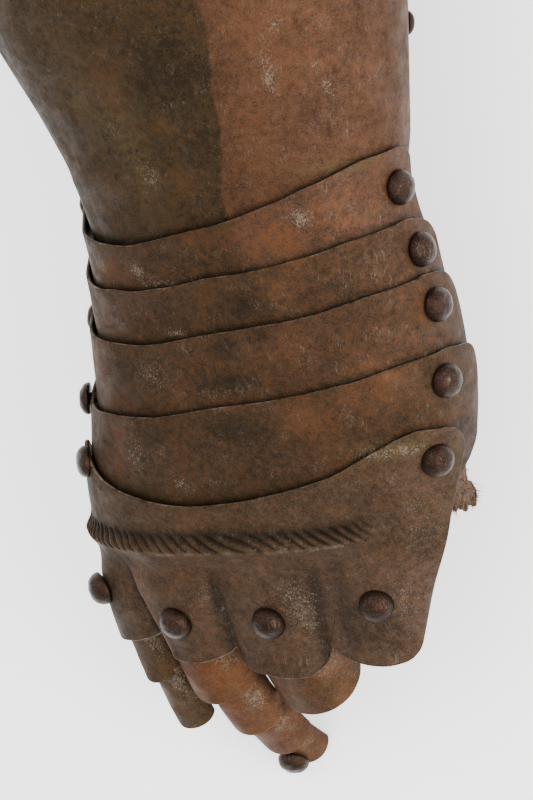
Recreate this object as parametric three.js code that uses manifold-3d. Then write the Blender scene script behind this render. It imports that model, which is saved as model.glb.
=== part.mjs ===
// Armoured gauntlet for a right hand, lying palm down on a table.
//
// Frame in millimetres: +X is the thumb side, +Y runs from the fingers to the cuff's mouth, +Z is up.
// The origin is the middle of the underside of the box round the whole gauntlet.
// Every plate follows one body form: arches across the arm, each at its own y. A point on an arch is
// found by its angle, which is 0 at the crown, 90 on the thumb side and -90 on the little finger's
// side, and by its offset outwards from the form. The plates are walls between two offsets.

import * as THREE from 'three';
import { mergeVertices } from 'three/addons/utils/BufferGeometryUtils.js';
import Module from 'manifold-3d';

const wasm = await Module();
wasm.setup();

// Walls and gaps
const PLATE_WALL = 1.2;
const CUFF_WALL = 1.5;
const LEATHER_WALL = 1.8;
const PLATE_GAP = 0.7;
const LOOSE_GAP = 0.65;
const HEAD_GAP = 0.8;
const BURR_GAP = 1;
const LOBE_GAP = 1.6;
const PLATE_STEP = PLATE_WALL + PLATE_GAP;
const CUFF_STEP = CUFF_WALL + PLATE_GAP;
const BASE_OFFSET = 0.8;

// The body form: the arch's middle, half width, level of its widest place, rise above that level,
// drop below it, and the power that squares the arch (2 is an ellipse). FLAT cuts the underside level.
const STATIONS = [
  { y: 136, middle: -12, half: 78, level: 56, rise: 56, drop: 71, power: 2.2 },
  { y: 60, middle: -5, half: 62, level: 50, rise: 42, drop: 44, power: 2.2 },
  { y: 12, middle: 3, half: 49, level: 46, rise: 31, drop: 31, power: 2.3 },
  { y: 0, middle: 3, half: 47, level: 44, rise: 30, drop: 29, power: 2.3 },
  { y: -20, middle: 4, half: 49.5, level: 39.5, rise: 30, drop: 29, power: 2.4 },
  { y: -40, middle: 3.5, half: 53, level: 35, rise: 30, drop: 29, power: 2.4 },
  { y: -60, middle: 1.5, half: 55.5, level: 30.5, rise: 31, drop: 29, power: 2.5 },
  { y: -85, middle: -4, half: 58, level: 25, rise: 30, drop: 28, power: 2.5 },
  { y: -110, middle: -8.5, half: 59, level: 18, rise: 28, drop: 26, power: 2.5 },
  { y: -136, middle: -11, half: 57, level: 10, rise: 25, drop: 24, power: 2.5 },
];

const FLAT = 0.94;

// The rivet pairs that the plates turn on, from the wrist to the knuckles, and the angles where the
// plates end beside them. A pair's two rivets may stand at slightly different places along the arm.
const PIVOTS = [
  { y: -3, littleY: -3, thumb: 82, little: -92, thumbEnd: 97, littleEnd: -105 },
  { y: -20.5, littleY: -20.5, thumb: 82, little: -92, thumbEnd: 99, littleEnd: -105 },
  { y: -36, littleY: -36, thumb: 80, little: -88, thumbEnd: 101, littleEnd: -102 },
  { y: -57, littleY: -59, thumb: 75, little: -74, thumbEnd: 104, littleEnd: -92 },
  { y: -79, littleY: -77, thumb: 66, little: -62, thumbEnd: 102, littleEnd: -80 },
];
const PIVOT_MARGIN = 8;
const END_MARGIN = 13;

// The edges that show, as the rise of the edge towards the cuff above its rivet pair.
const WRIST_EDGE = [
  { angle: -92, rise: 8 },
  { angle: -78, rise: -2 },
  { angle: -58, rise: -7 },
  { angle: -25, rise: -9.5 },
  { angle: 0, rise: -6 },
  { angle: 30, rise: 1 },
  { angle: 60, rise: 8 },
  { angle: 82, rise: 11 },
];
const LAME_EDGE = [
  { angle: -90, rise: 8 },
  { angle: -74, rise: 0 },
  { angle: -60, rise: -3.2 },
  { angle: -40, rise: -4.7 },
  { angle: -20, rise: -5 },
  { angle: 5, rise: -1.5 },
  { angle: 30, rise: 2 },
  { angle: 55, rise: 6 },
  { angle: 78, rise: 8.5 },
];
const KNUCKLE_EDGE = [
  { angle: -65, rise: 8 },
  { angle: -49, rise: -1 },
  { angle: -30, rise: -7 },
  { angle: -10, rise: -10 },
  { angle: 3, rise: -8 },
  { angle: 22, rise: -3 },
  { angle: 42, rise: 5 },
  { angle: 56, rise: 9 },
  { angle: 68, rise: 9 },
];
const SEAM_EDGES = [WRIST_EDGE, LAME_EDGE, LAME_EDGE, LAME_EDGE, KNUCKLE_EDGE];
const COVER = 6;
const TUCK = { start: 4, slope: 0.1 };
const CORNER = 8;

// Cuff: its lift off the form, the run over which it draws in under the first lame, and how much
// closer its rows stand near that lame (1 is even).
const CUFF_MOUTH_Y = 136;
const CUFF_PALM_Y = 22;
const CUFF_LIFT = 0.8;
const CUFF_TUCK_RUN = 13;
const CUFF_PACKING = 1.15;
const CUFF_SIDES = { thumb: 128, little: -106, near: 14, back: 26 };
const CUFF_TURN = { length: 5, height: 1.6 };
const CUFF_KEEL = { angle: 14, spread: 16, height: 1.4, fade: 20 };
const INNER_PLATE = { thumb: 114, little: 278 };
const SEAM_RIVETS = [{ y: 40 }, { y: 104 }];
const SEAM_ANGLES = { thumb: 121, little: -91 };
const FIRST_PIVOT_LIFT = 0.5;

// Knuckle plate: the finger lobes between their valleys, and the roped ridge across them.
const VALLEYS = [
  { y: -106, first: -41, second: -7, third: 17.5 },
  { y: -130, first: -32, second: -5.5, third: 16.5 },
];
const LOBES = [
  { finger: 'little', from: -74, to: -32, tip: -134, bow: 6 },
  { finger: 'ring', from: -32, to: -5.5, tip: -143, bow: 8 },
  { finger: 'middle', from: -5.5, to: 16.5, tip: -143, bow: 7 },
  { finger: 'index', from: 16.5, to: 54, tip: -140, bow: 9 },
];
const KNUCKLE_ENDS = { littleFar: -74, thumbFar: 54 };
const LOBE_SWELL = { start: -100, full: -122, height: 2.6 };
const KNUCKLE_TAPER = 18;
const ROPE = { y: -102.5, dip: 3.5, height: 1.7, half: 4.2, valley: 0.9, from: -78, to: 42 };
const KNUCKLE_RIVETS = [
  { finger: 'little', y: -117, angle: -60 },
  { finger: 'ring', y: -125.5, angle: -20 },
  { finger: 'middle', y: -125, angle: 3 },
  { finger: 'index', y: -120.5, angle: 35 },
];

// Rivets: the domed head, the shank, the clearance round it and the burr inside.
const HEAD = { radius: 4.8, height: 3.2 };
const SEAM_HEAD = { radius: 3.4, height: 2.2 };
const TIP_HEAD = { radius: 4.1, height: 3.2 };
const SHANK_RADIUS = 1.8;
const BURR = { radius: 2.8, height: 0.9 };
const RIVET_SIDES = 8;
const HEAD_RINGS = 3;
const HOLE_SIDES = 8;
const HOLE_RADIUS = 2.5;
const HOLE_LENGTH = 14;

// Finger scales: half tubes nested in each other, stepping down the curled finger.
const SCALE_OVERLAP = 5;
const SCALE_BOW = 0.8;
const SCALE_ARC = 78;
const SCALE_ROUND = 0.38;
const SCALE_CLEARANCE = 0.4;
const FINGERS = [
  {
    name: 'little', angle: -56, back: 9, roll: -34, yaw: 4,
    scales: [{ width: 20, length: 25, pitch: 18 }, { width: 16.5, length: 24, pitch: 25 }],
  },
  {
    name: 'ring', angle: -19, back: 9, roll: -6, yaw: 8,
    scales: [
      { width: 24, length: 23, pitch: 20 },
      { width: 20.5, length: 20, pitch: 32 },
      { width: 18, length: 20, pitch: 42 },
      { width: 15.5, length: 18, pitch: 51 },
    ],
  },
  {
    name: 'middle', angle: 4, back: 9, roll: 3, yaw: 3,
    scales: [{ width: 27, length: 30, pitch: 34 }],
  },
];
const TIP_RIVET = { scale: 'scale_ring_4', fromEnd: 5 };
const STRAP_SHARE = 0.2;
const STRAP_ROOT = { half: 4.5, reach: 5 };

// Thumb leather: what is left of the strap at the thumb side, curling out past the last lame.
const THUMB_LEATHER = {
  fromAngle: 79, toAngle: 98, fromY: -74, toY: -97, offset: -2.6, curl: 4.2, curlStart: 0.6,
};

const FINISHES = {
  cuff: { color: 0x6b4a33, roughness: 0.62, metalness: 0.55 },
  plate: { color: 0x5a402d, roughness: 0.6, metalness: 0.55 },
  knuckle: { color: 0x5c4230, roughness: 0.58, metalness: 0.55 },
  scale: { color: 0x6e4d37, roughness: 0.6, metalness: 0.5 },
  rivet: { color: 0x4a362a, roughness: 0.45, metalness: 0.65 },
  leather: { color: 0x4b3524, roughness: 0.95, metalness: 0 },
};

const clamp01 = (value) => Math.min(1, Math.max(0, value));
const lerp = THREE.MathUtils.lerp;
const radians = THREE.MathUtils.degToRad;
const smooth = (value) => THREE.MathUtils.smoothstep(value, 0, 1);

/** Reads one column of a table at a place along its key column, as a smooth curve through the rows. */
function along(rows, key, column, place) {
  const sign = Math.sign(rows[rows.length - 1][key] - rows[0][key]);
  const count = rows.length;
  if ((place - rows[0][key]) * sign <= 0) return rows[0][column];
  if ((place - rows[count - 1][key]) * sign >= 0) return rows[count - 1][column];
  const i = rows.findIndex((row, n) => n + 1 < count && (place - rows[n + 1][key]) * sign < 0);
  const slope = (n) => {
    const low = rows[Math.max(0, n - 1)];
    const high = rows[Math.min(count - 1, n + 1)];
    return (high[column] - low[column]) / (high[key] - low[key]);
  };
  const span = rows[i + 1][key] - rows[i][key];
  const t = (place - rows[i][key]) / span;
  const t2 = t * t;
  const t3 = t2 * t;
  return (2 * t3 - 3 * t2 + 1) * rows[i][column] + (t3 - 2 * t2 + t) * span * slope(i)
    + (3 * t2 - 2 * t3) * rows[i + 1][column] + (t3 - t2) * span * slope(i + 1);
}

/** A point of the body form, pushed outwards by the offset. */
function formPoint(y, angle, offset) {
  const s = Math.sin(radians(angle));
  const c = Math.cos(radians(angle));
  const power = 2 / along(STATIONS, 'y', 'power', y);
  const half = along(STATIONS, 'y', 'half', y) + offset;
  const tall = along(STATIONS, 'y', c >= 0 ? 'rise' : 'drop', y) + offset;
  const x = along(STATIONS, 'y', 'middle', y) + half * Math.sign(s) * Math.abs(s) ** power;
  const height = tall * Math.sign(c) * Math.abs(c) ** power;
  return new THREE.Vector3(x, y, along(STATIONS, 'y', 'level', y) + Math.max(height, -FLAT * tall));
}

/** The outward direction, at a place on the form, of a plate whose offset varies along the arm. */
function plateNormal(y, angle, offsetAt = () => 0) {
  const across = formPoint(y, angle + 1, 0).sub(formPoint(y, angle - 1, 0));
  const down = formPoint(y - 3, angle, offsetAt(y - 3)).sub(formPoint(y + 3, angle, offsetAt(y + 3)));
  return down.cross(across).normalize();
}

/** Merges shared corners, and leaves only positions. */
function weld(geometry) {
  const bare = geometry.clone();
  bare.deleteAttribute('normal');
  bare.deleteAttribute('uv');
  return mergeVertices(bare, 1e-4);
}

function toSolid(geometry) {
  const welded = weld(geometry);
  return new wasm.Manifold(new wasm.Mesh({
    numProp: 3,
    vertProperties: new Float32Array(welded.attributes.position.array),
    triVerts: new Uint32Array(welded.index.array),
  }));
}

function toGeometry(solid) {
  const mesh = solid.getMesh();
  const geometry = new THREE.BufferGeometry();
  geometry.setAttribute('position', new THREE.BufferAttribute(new Float32Array(mesh.vertProperties), 3));
  geometry.setIndex(Array.from(mesh.triVerts));
  geometry.computeVertexNormals();
  return geometry;
}

/** Six times the volume inside a closed mesh, positive when its faces point out. */
function signedVolume(positions, index) {
  const corner = (n) => new THREE.Vector3().fromArray(positions, 3 * index[n]);
  let sum = 0;
  for (let n = 0; n < index.length; n += 3) {
    sum += corner(n).dot(corner(n + 1).cross(corner(n + 2)));
  }
  return sum;
}

/**
 * A closed wall: skin(across, along, depth) gives its points, with across and along from 0 to 1,
 * on the outer face at depth 0 and on the inner face at depth wall.
 */
function sheet(columns, rows, skin, wall, spread = (t) => t) {
  const positions = [];
  for (const depth of [0, wall]) {
    for (let r = 0; r <= rows; r += 1) {
      for (let c = 0; c <= columns; c += 1) {
        positions.push(...skin(spread(c / columns), r / rows, depth).toArray());
      }
    }
  }
  const stride = columns + 1;
  const layer = stride * (rows + 1);
  const index = [];
  const quad = (a, b, c, d) => index.push(a, b, c, a, c, d);
  for (let r = 0; r < rows; r += 1) {
    for (let c = 0; c < columns; c += 1) {
      const n = r * stride + c;
      quad(n, n + 1, n + stride + 1, n + stride);
      quad(layer + n, layer + n + stride, layer + n + stride + 1, layer + n + 1);
    }
  }
  for (let c = 0; c < columns; c += 1) {
    const far = rows * stride + c;
    quad(c + 1, c, layer + c, layer + c + 1);
    quad(far, far + 1, layer + far + 1, layer + far);
  }
  for (let r = 0; r < rows; r += 1) {
    const near = r * stride;
    const side = near + columns;
    quad(near, near + stride, layer + near + stride, layer + near);
    quad(side + stride, side, layer + side, layer + side + stride);
  }
  if (signedVolume(positions, index) < 0) index.reverse();
  const geometry = new THREE.BufferGeometry();
  geometry.setAttribute('position', new THREE.Float32BufferAttribute(positions, 3));
  geometry.setIndex(index);
  geometry.computeVertexNormals();
  return geometry;
}

/** Packs the columns of a sheet closer together near its two ends. */
const towardsEnds = (t) => 0.5 - 0.5 * Math.cos(Math.PI * t);

/** How far the corners of a plate's end are drawn in, from its angle to the end. */
function cornerCut(angleToEnd, radius) {
  const t = clamp01(angleToEnd / END_MARGIN);
  return radius * (1 - Math.sqrt(1 - (1 - t) ** 2));
}

/** The y of the edge that shows where one plate starts over the one before it. */
function seamEdge(seam, angle) {
  return PIVOTS[seam].y + along(SEAM_EDGES[seam], 'angle', 'rise', angle);
}

/** The y of the hidden edge of the plate that lies under a seam. */
function hiddenEdge(seam, angle) {
  return PIVOTS[seam].y + Math.min(seamEdge(seam, angle) - PIVOTS[seam].y - COVER, -PIVOT_MARGIN);
}

/** The cuff's offset: level over the forearm, drawn in under the first lame. */
function cuffOffset(y, angle) {
  const turn = smooth((y - CUFF_MOUTH_Y + CUFF_TURN.length) / 2) * CUFF_TURN.height;
  const keel = CUFF_KEEL.height * Math.exp(-(((angle - CUFF_KEEL.angle) / CUFF_KEEL.spread) ** 2));
  const tuck = Math.min(0, ((y - PIVOTS[0].y - PIVOT_MARGIN) * PLATE_STEP) / CUFF_TUCK_RUN);
  return BASE_OFFSET + CUFF_LIFT + turn + keel * smooth(y / CUFF_KEEL.fade) + tuck;
}

/** The offset of a lame: high over the plate before it, low under the plate after it. */
function lameOffset(lame, y) {
  const near = PIVOTS[lame - 1].y;
  const far = PIVOTS[lame].y;
  const tuck = TUCK.slope * Math.max(0, far - TUCK.start - y);
  return BASE_OFFSET + (PLATE_STEP * (y - far)) / (near - far) - tuck;
}

function cuffPlate() {
  const skin = (across, t, depth) => {
    const angle = lerp(CUFF_SIDES.little, CUFF_SIDES.thumb, across);
    const pastLittle = CUFF_SIDES.little + CUFF_SIDES.near - angle;
    const pastThumb = angle - CUFF_SIDES.thumb + 2 * CUFF_SIDES.near;
    const side = smooth(Math.max(pastLittle, pastThumb) / CUFF_SIDES.near);
    const near = lerp(hiddenEdge(0, angle), CUFF_SIDES.back, side);
    const y = lerp(near, CUFF_MOUTH_Y, t ** CUFF_PACKING);
    return formPoint(y, angle, cuffOffset(y, angle) - depth);
  };
  return sheet(34, 7, skin, CUFF_WALL);
}

function cuffInnerPlate() {
  const skin = (across, t, depth) => {
    const angle = lerp(INNER_PLATE.thumb, INNER_PLATE.little, across);
    const y = lerp(CUFF_PALM_Y, CUFF_MOUTH_Y, t);
    return formPoint(y, angle, cuffOffset(y, 180) - CUFF_STEP - depth);
  };
  return sheet(22, 4, skin, CUFF_WALL);
}

function lamePlate(lame) {
  const near = PIVOTS[lame - 1];
  const far = PIVOTS[lame];
  const skin = (across, t, depth) => {
    const first = lerp(near.littleEnd, far.littleEnd, t);
    const last = lerp(near.thumbEnd, far.thumbEnd, t);
    const angle = lerp(first, last, across);
    const cut = cornerCut(Math.min(angle - first, last - angle), CORNER);
    const y = lerp(seamEdge(lame - 1, angle) - cut, hiddenEdge(lame, angle) + cut, t);
    return formPoint(y, angle, lameOffset(lame, y) - depth);
  };
  return sheet(32, 3, skin, PLATE_WALL, towardsEnds);
}

/** The valleys' angles at a place along the knuckle plate. */
function valleyAngle(name, y) {
  const [near, far] = VALLEYS;
  return lerp(near[name], far[name], (y - near.y) / (far.y - near.y));
}

/** The lobes' swelling between their valleys, 0 in a valley and 1 along a lobe's middle. */
function lobeSwell(y, angle, ends) {
  const valleys = ['first', 'second', 'third'].map((name) => valleyAngle(name, y));
  const borders = [ends.little, ...valleys, ends.thumb];
  const lobe = Math.min(3, Math.max(0, borders.findIndex((border) => angle < border) - 1));
  const t = clamp01((angle - borders[lobe]) / (borders[lobe + 1] - borders[lobe]));
  return Math.sqrt(Math.max(0, 1 - (2 * t - 1) ** 2));
}

/** The roped ridge's height above the plate, with the shallow valley on its finger side. */
function ropeHeight(y, angle) {
  const middle = ROPE.y + ROPE.dip * ((angle + 12) / 50) ** 2;
  const t = (y - middle) / ROPE.half;
  const ends = smooth((angle - ROPE.from) / 10) * smooth((ROPE.to - angle) / 14);
  const ridge = ROPE.height * Math.exp(-(t ** 2) * 1.6);
  const valley = ROPE.valley * Math.exp(-((t + 2) ** 2));
  return ends * (ridge - valley);
}

function knuckleOffset(y, angle, ends) {
  const near = PIVOTS[3].y;
  const far = PIVOTS[4].y;
  const taper = BASE_OFFSET + PLATE_STEP + PLATE_STEP * Math.max(y - far, -KNUCKLE_TAPER) / (near - far);
  const swell = smooth((y - LOBE_SWELL.start) / (LOBE_SWELL.full - LOBE_SWELL.start));
  const lobes = LOBE_SWELL.height * swell * (lobeSwell(y, angle, ends) - 0.7);
  return taper + lobes + ropeHeight(y, angle);
}

/** The y of the lobes' rounded finger-side edge. */
function lobeEdge(angle) {
  const lobe = LOBES.find((row) => angle <= row.to) ?? LOBES[LOBES.length - 1];
  const t = (2 * (angle - lobe.from)) / (lobe.to - lobe.from) - 1;
  return lobe.tip + lobe.bow * (1 - Math.sqrt(Math.max(0, 1 - t * t * 0.97)));
}

function knuckleSkin(across, t, depth) {
  const pivot = PIVOTS[4];
  const nearEnds = { little: pivot.little - END_MARGIN - 6, thumb: pivot.thumb + END_MARGIN + 5 };
  const ends = {
    little: lerp(nearEnds.little, KNUCKLE_ENDS.littleFar, smooth(t)),
    thumb: lerp(nearEnds.thumb, KNUCKLE_ENDS.thumbFar, t),
  };
  const angle = lerp(ends.little, ends.thumb, across);
  const farAngle = lerp(KNUCKLE_ENDS.littleFar, KNUCKLE_ENDS.thumbFar, across);
  const cut = cornerCut(Math.min(angle - ends.little, ends.thumb - angle), CORNER);
  const y = lerp(seamEdge(4, angle) - cut, lobeEdge(farAngle), t);
  return formPoint(y, angle, knuckleOffset(y, angle, ends) - depth);
}

function knucklePlate() {
  return sheet(40, 10, knuckleSkin, PLATE_WALL);
}

/** A point on the knuckle plate's outer face, found by its y and angle. */
function knucklePoint(y, angle, depth) {
  const ends = { little: KNUCKLE_ENDS.littleFar - 8, thumb: KNUCKLE_ENDS.thumbFar + 14 };
  return formPoint(y, angle, knuckleOffset(y, angle, ends) - depth);
}

/** A domed rivet along +Z: its head stands on z = 0 and its burr closes at the given depth. */
function rivetGeometry(head, depth) {
  const points = [new THREE.Vector2(0, -depth - BURR.height)];
  points.push(new THREE.Vector2(BURR.radius, -depth - BURR.height));
  points.push(new THREE.Vector2(BURR.radius, -depth));
  points.push(new THREE.Vector2(SHANK_RADIUS, -depth));
  points.push(new THREE.Vector2(SHANK_RADIUS, HEAD_GAP));
  for (let n = 0; n < HEAD_RINGS; n += 1) {
    const t = (n / HEAD_RINGS) * (Math.PI / 2);
    points.push(new THREE.Vector2(head.radius * Math.cos(t), HEAD_GAP + head.height * Math.sin(t)));
  }
  points.push(new THREE.Vector2(0, HEAD_GAP + head.height));
  const geometry = weld(new THREE.LatheGeometry(points, RIVET_SIDES));
  geometry.rotateX(Math.PI / 2);
  geometry.computeVertexNormals();
  return geometry;
}

/** A hole for a shank, along +Z through the origin. */
function holeGeometry() {
  const hole = new THREE.CylinderGeometry(HOLE_RADIUS, HOLE_RADIUS, HOLE_LENGTH, HOLE_SIDES);
  hole.rotateX(Math.PI / 2);
  return hole;
}

const root = new THREE.Group();
root.name = 'gauntlet';

function material(finish) {
  return new THREE.MeshStandardMaterial({ ...FINISHES[finish], side: THREE.FrontSide });
}

function addPiece(name, geometry, finish) {
  const piece = new THREE.Mesh(geometry, material(finish));
  piece.name = name;
  root.add(piece);
  return piece;
}

/** Places a rivet, and returns the shank's clearance hole that the plates under it need. */
function addRivet(name, head, place, direction, depth) {
  const piece = addPiece(name, rivetGeometry(head, depth), 'rivet');
  piece.position.copy(place);
  piece.quaternion.setFromUnitVectors(new THREE.Vector3(0, 0, 1), direction);
  const hole = holeGeometry();
  hole.applyQuaternion(piece.quaternion);
  hole.translate(place.x, place.y, place.z);
  return toSolid(hole);
}

/** Cuts the holes out of a plate's wall. */
function drilled(geometry, holes) {
  return toGeometry(holes.reduce((solid, hole) => solid.subtract(hole), toSolid(geometry)));
}

/** A finger scale along -Y: a half tube with a rounded end, its crest starting at the origin. */
function scaleGeometry({ width, length }) {
  const skin = (across, t, depth) => {
    const angle = radians(lerp(-SCALE_ARC, SCALE_ARC, across));
    const radius = width / 2 - depth;
    const sides = Math.abs(2 * across - 1);
    const reach = length - SCALE_ROUND * width * (1 - Math.sqrt(1 - 0.98 * sides ** 2));
    const x = radius * Math.sin(angle);
    const z = radius * Math.cos(angle) - width / 2 - SCALE_BOW * t * t;
    return new THREE.Vector3(x, -t * reach, z);
  };
  return sheet(10, 3, skin, PLATE_WALL, towardsEnds);
}

/** A strap as a slab through frames of place and rotation, each at the middle of its upper face. */
function strapGeometry(frames) {
  const skin = (across, t, depth) => {
    const frame = frames[Math.round(t * (frames.length - 1))];
    const local = new THREE.Vector3(lerp(-frame.half, frame.half, across), 0, -depth);
    return local.applyEuler(frame.rotation).add(frame.place);
  };
  return sheet(2, frames.length - 1, skin, LEATHER_WALL);
}

/** The hole in the fingertip's scale, in the scale's own frame. */
function tipHole(scale) {
  const hole = holeGeometry();
  hole.translate(0, TIP_RIVET.fromEnd - scale.length, 0);
  return toSolid(hole);
}

/** The rivet on the fingertip's scale. */
function addTipRivet(frame, scale) {
  const piece = addPiece('ring_tip_rivet', rivetGeometry(TIP_HEAD, PLATE_WALL + 2 * LOOSE_GAP), 'rivet');
  const local = new THREE.Vector3(0, TIP_RIVET.fromEnd - scale.length, -SCALE_BOW / 2);
  piece.position.copy(local.applyEuler(frame.rotation).add(frame.place));
  piece.rotation.copy(frame.rotation);
}

/** Adds one finger's scales, and returns the frames that its strap runs through. */
function addFinger(finger) {
  const lobe = LOBES.find((row) => row.finger === finger.name);
  const place = knucklePoint(lobe.tip + finger.back, finger.angle, PLATE_STEP + SCALE_CLEARANCE);
  const frames = [];
  const under = (frame, forward, depth, half) => {
    const step = new THREE.Vector3(0, -forward, -depth).applyEuler(frame.rotation);
    return { rotation: frame.rotation, place: frame.place.clone().add(step), half };
  };
  const [roll, yaw] = [radians(finger.roll), radians(finger.yaw)];
  finger.scales.forEach((scale, n) => {
    const rotation = new THREE.Euler(radians(scale.pitch), roll, yaw, 'ZXY');
    const frame = { place: place.clone(), rotation };
    const name = `scale_${finger.name}_${n + 1}`;
    const isTip = name === TIP_RIVET.scale;
    if (isTip) addTipRivet(frame, scale);
    const piece = addPiece(name, drilled(scaleGeometry(scale), isTip ? [tipHole(scale)] : []), 'scale');
    piece.position.copy(frame.place);
    piece.rotation.copy(frame.rotation);
    const forward = scale.length - SCALE_OVERLAP;
    const drop = SCALE_BOW * (forward / scale.length) ** 2 + PLATE_STEP;
    const half = STRAP_SHARE * scale.width;
    const bore = scale.width / 2 - PLATE_WALL;
    const sag = bore - Math.sqrt(bore ** 2 - half ** 2);
    const clear = PLATE_WALL + LOOSE_GAP + sag;
    frames.push(under(frame, 1, clear, half));
    frames.push(under(frame, forward - 2, drop + clear, half));
    place.copy(under(frame, forward, drop, half).place);
  });
  return frames;
}

/** The frame on the knuckle plate's inner face where a strap is riveted. */
function lobeFrame(rivet, forward) {
  const place = knucklePoint(rivet.y - forward, rivet.angle, PLATE_WALL + LOBE_GAP);
  const direction = plateNormal(rivet.y, rivet.angle);
  const pitch = Math.atan2(-direction.y, direction.z);
  const roll = Math.asin(direction.x);
  return { place, rotation: new THREE.Euler(pitch, roll, 0, 'ZXY'), half: STRAP_ROOT.half };
}

// Rivets first, because the plates are drilled for their shanks.
const holes = PIVOTS.map(() => []);
PIVOTS.forEach((pivot, n) => {
  for (const side of ['thumb', 'little']) {
    const y = side === 'little' ? pivot.littleY : pivot.y;
    const lift = n === 0 ? FIRST_PIVOT_LIFT : 0;
    const place = formPoint(y, pivot[side], BASE_OFFSET + PLATE_STEP + lift);
    const offsetAt = n < 4 ? (nearby) => lameOffset(n + 1, nearby) : () => 0;
    const direction = plateNormal(y, pivot[side], offsetAt);
    const depth = PLATE_STEP + PLATE_WALL + BURR_GAP;
    const name = `pivot_rivet_${side}_${n + 1}`;
    holes[n].push(addRivet(name, HEAD, place, direction, depth));
  }
});
const seamHoles = [];
for (const [side, angle] of Object.entries(SEAM_ANGLES)) {
  SEAM_RIVETS.forEach(({ y }, n) => {
    const place = formPoint(y, angle, cuffOffset(y, angle));
    const direction = plateNormal(y, angle);
    const depth = CUFF_STEP + CUFF_WALL + LOOSE_GAP;
    const name = `seam_rivet_${side}_${n + 1}`;
    seamHoles.push(addRivet(name, SEAM_HEAD, place, direction, depth));
  });
}
const knuckleHoles = KNUCKLE_RIVETS.map((rivet) => {
  const place = knucklePoint(rivet.y, rivet.angle, 0);
  const direction = plateNormal(rivet.y, rivet.angle);
  const depth = PLATE_WALL + LOBE_GAP + LEATHER_WALL + LOOSE_GAP;
  return addRivet(`knuckle_rivet_${rivet.finger}`, HEAD, place, direction, depth);
});

addPiece('cuff_plate', drilled(cuffPlate(), [...holes[0], ...seamHoles]), 'cuff');
addPiece('cuff_inner_plate', drilled(cuffInnerPlate(), seamHoles), 'cuff');
for (let lame = 1; lame <= 4; lame += 1) {
  addPiece(`lame_${lame}`, drilled(lamePlate(lame), [...holes[lame - 1], ...holes[lame]]), 'plate');
}
addPiece('knuckle_plate', drilled(knucklePlate(), [...holes[4], ...knuckleHoles]), 'knuckle');

for (const finger of FINGERS) {
  const n = KNUCKLE_RIVETS.findIndex((row) => row.finger === finger.name);
  const start = [-STRAP_ROOT.reach, STRAP_ROOT.reach].map((step) => lobeFrame(KNUCKLE_RIVETS[n], step));
  const strap = strapGeometry([...start, ...addFinger(finger)]);
  addPiece(`strap_${finger.name}`, drilled(strap, [knuckleHoles[n]]), 'leather');
}

const leatherSkin = (across, t, depth) => {
  const { fromAngle, toAngle, fromY, toY, offset, curl, curlStart } = THUMB_LEATHER;
  const out = offset + curl * clamp01((t - curlStart) / (1 - curlStart));
  return formPoint(lerp(fromY, toY, t), lerp(fromAngle, toAngle, across), out - depth);
};
addPiece('thumb_leather', sheet(3, 5, leatherSkin, LEATHER_WALL), 'leather');

// The origin is the middle of the underside of the box round the whole gauntlet.
root.updateMatrixWorld(true);
const box = new THREE.Box3().setFromObject(root, true);
root.position.set(-(box.min.x + box.max.x) / 2, -(box.min.y + box.max.y) / 2, -box.min.z);

export default root;
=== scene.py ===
"""Armoured gauntlet of rusted iron for a right hand, lying palm down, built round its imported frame.

The tables are in millimetres in the modelling frame: +X is the thumb side, +Y runs from the fingers to the
cuff's mouth and +Z is up. A point of the body form is found by its y, by its angle (0 at the crown, 90 on the
thumb side, -90 on the little finger's side) and by its offset outwards. Finished meshes are in metres.
"""

import logging
from dataclasses import dataclass, field
from enum import Enum
from typing import Any, Callable, Iterable, Mapping, Sequence

import bpy
import numpy as np
from mathutils import Matrix, Vector


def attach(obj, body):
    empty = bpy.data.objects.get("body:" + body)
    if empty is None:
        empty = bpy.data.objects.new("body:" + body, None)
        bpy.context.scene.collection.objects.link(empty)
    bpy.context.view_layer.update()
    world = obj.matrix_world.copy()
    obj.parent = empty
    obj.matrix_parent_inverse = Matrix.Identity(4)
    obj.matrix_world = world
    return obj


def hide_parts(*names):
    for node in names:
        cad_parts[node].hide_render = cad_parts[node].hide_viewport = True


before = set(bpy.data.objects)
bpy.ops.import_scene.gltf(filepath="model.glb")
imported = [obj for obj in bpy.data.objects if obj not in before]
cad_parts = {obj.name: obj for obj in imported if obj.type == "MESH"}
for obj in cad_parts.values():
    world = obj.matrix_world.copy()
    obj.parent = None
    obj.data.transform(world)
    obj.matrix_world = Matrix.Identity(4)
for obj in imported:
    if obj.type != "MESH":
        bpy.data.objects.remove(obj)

Array = np.ndarray
log = logging.getLogger("gauntlet")

MM = 0.001
SHIFT = np.array((12.033, 23.288, 11.751))

PLATE_WALL = 1.2
CUFF_WALL = 1.5
LEATHER_WALL = 1.8
PLATE_GAP = 0.7
PLATE_STEP = PLATE_WALL + PLATE_GAP
CUFF_STEP = CUFF_WALL + PLATE_GAP
BASE_OFFSET = 0.8
FLAT = 0.94
RIM = 0.45


class Mark(Enum):
    """What a vertex of a plate carries for its finish."""

    # Worn rims, and a painted highlight on the knuckle plate's roped ridge.
    EDGE = "edge"
    TONE = "tone"
    # Warm stains, and partly a painted highlight along the ring lobe's proud edge.
    WARM = "warm"
    PALE = "pale"
    # Dark stains, and painted shade beside seams, in the lobes' valleys, on the roped ridge and at the finger
    # scales' roots and sides.
    DARK = "dark"
    POWDER = "powder"
    INSIDE = "inside"


class Slot(Enum):
    """Names for the material slots."""

    CUFF = "cuff_iron"
    PLATE = "plate_iron"
    SCALE = "scale_iron"
    RIVET = "rivet_iron"
    LEATHER = "leather"


# ---------------------------------------------------------------- curves and noise


def smooth(value: Array | float) -> Array:
    """Smoothstep of a value clipped to 0..1."""
    t = np.clip(value, 0.0, 1.0)
    return t * t * (3.0 - 2.0 * t)


def mix(low: Array | float, high: Array | float, share: Array | float) -> Array:
    """Blend from low to high by a share from 0 to 1."""
    return low + (high - low) * share


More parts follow.
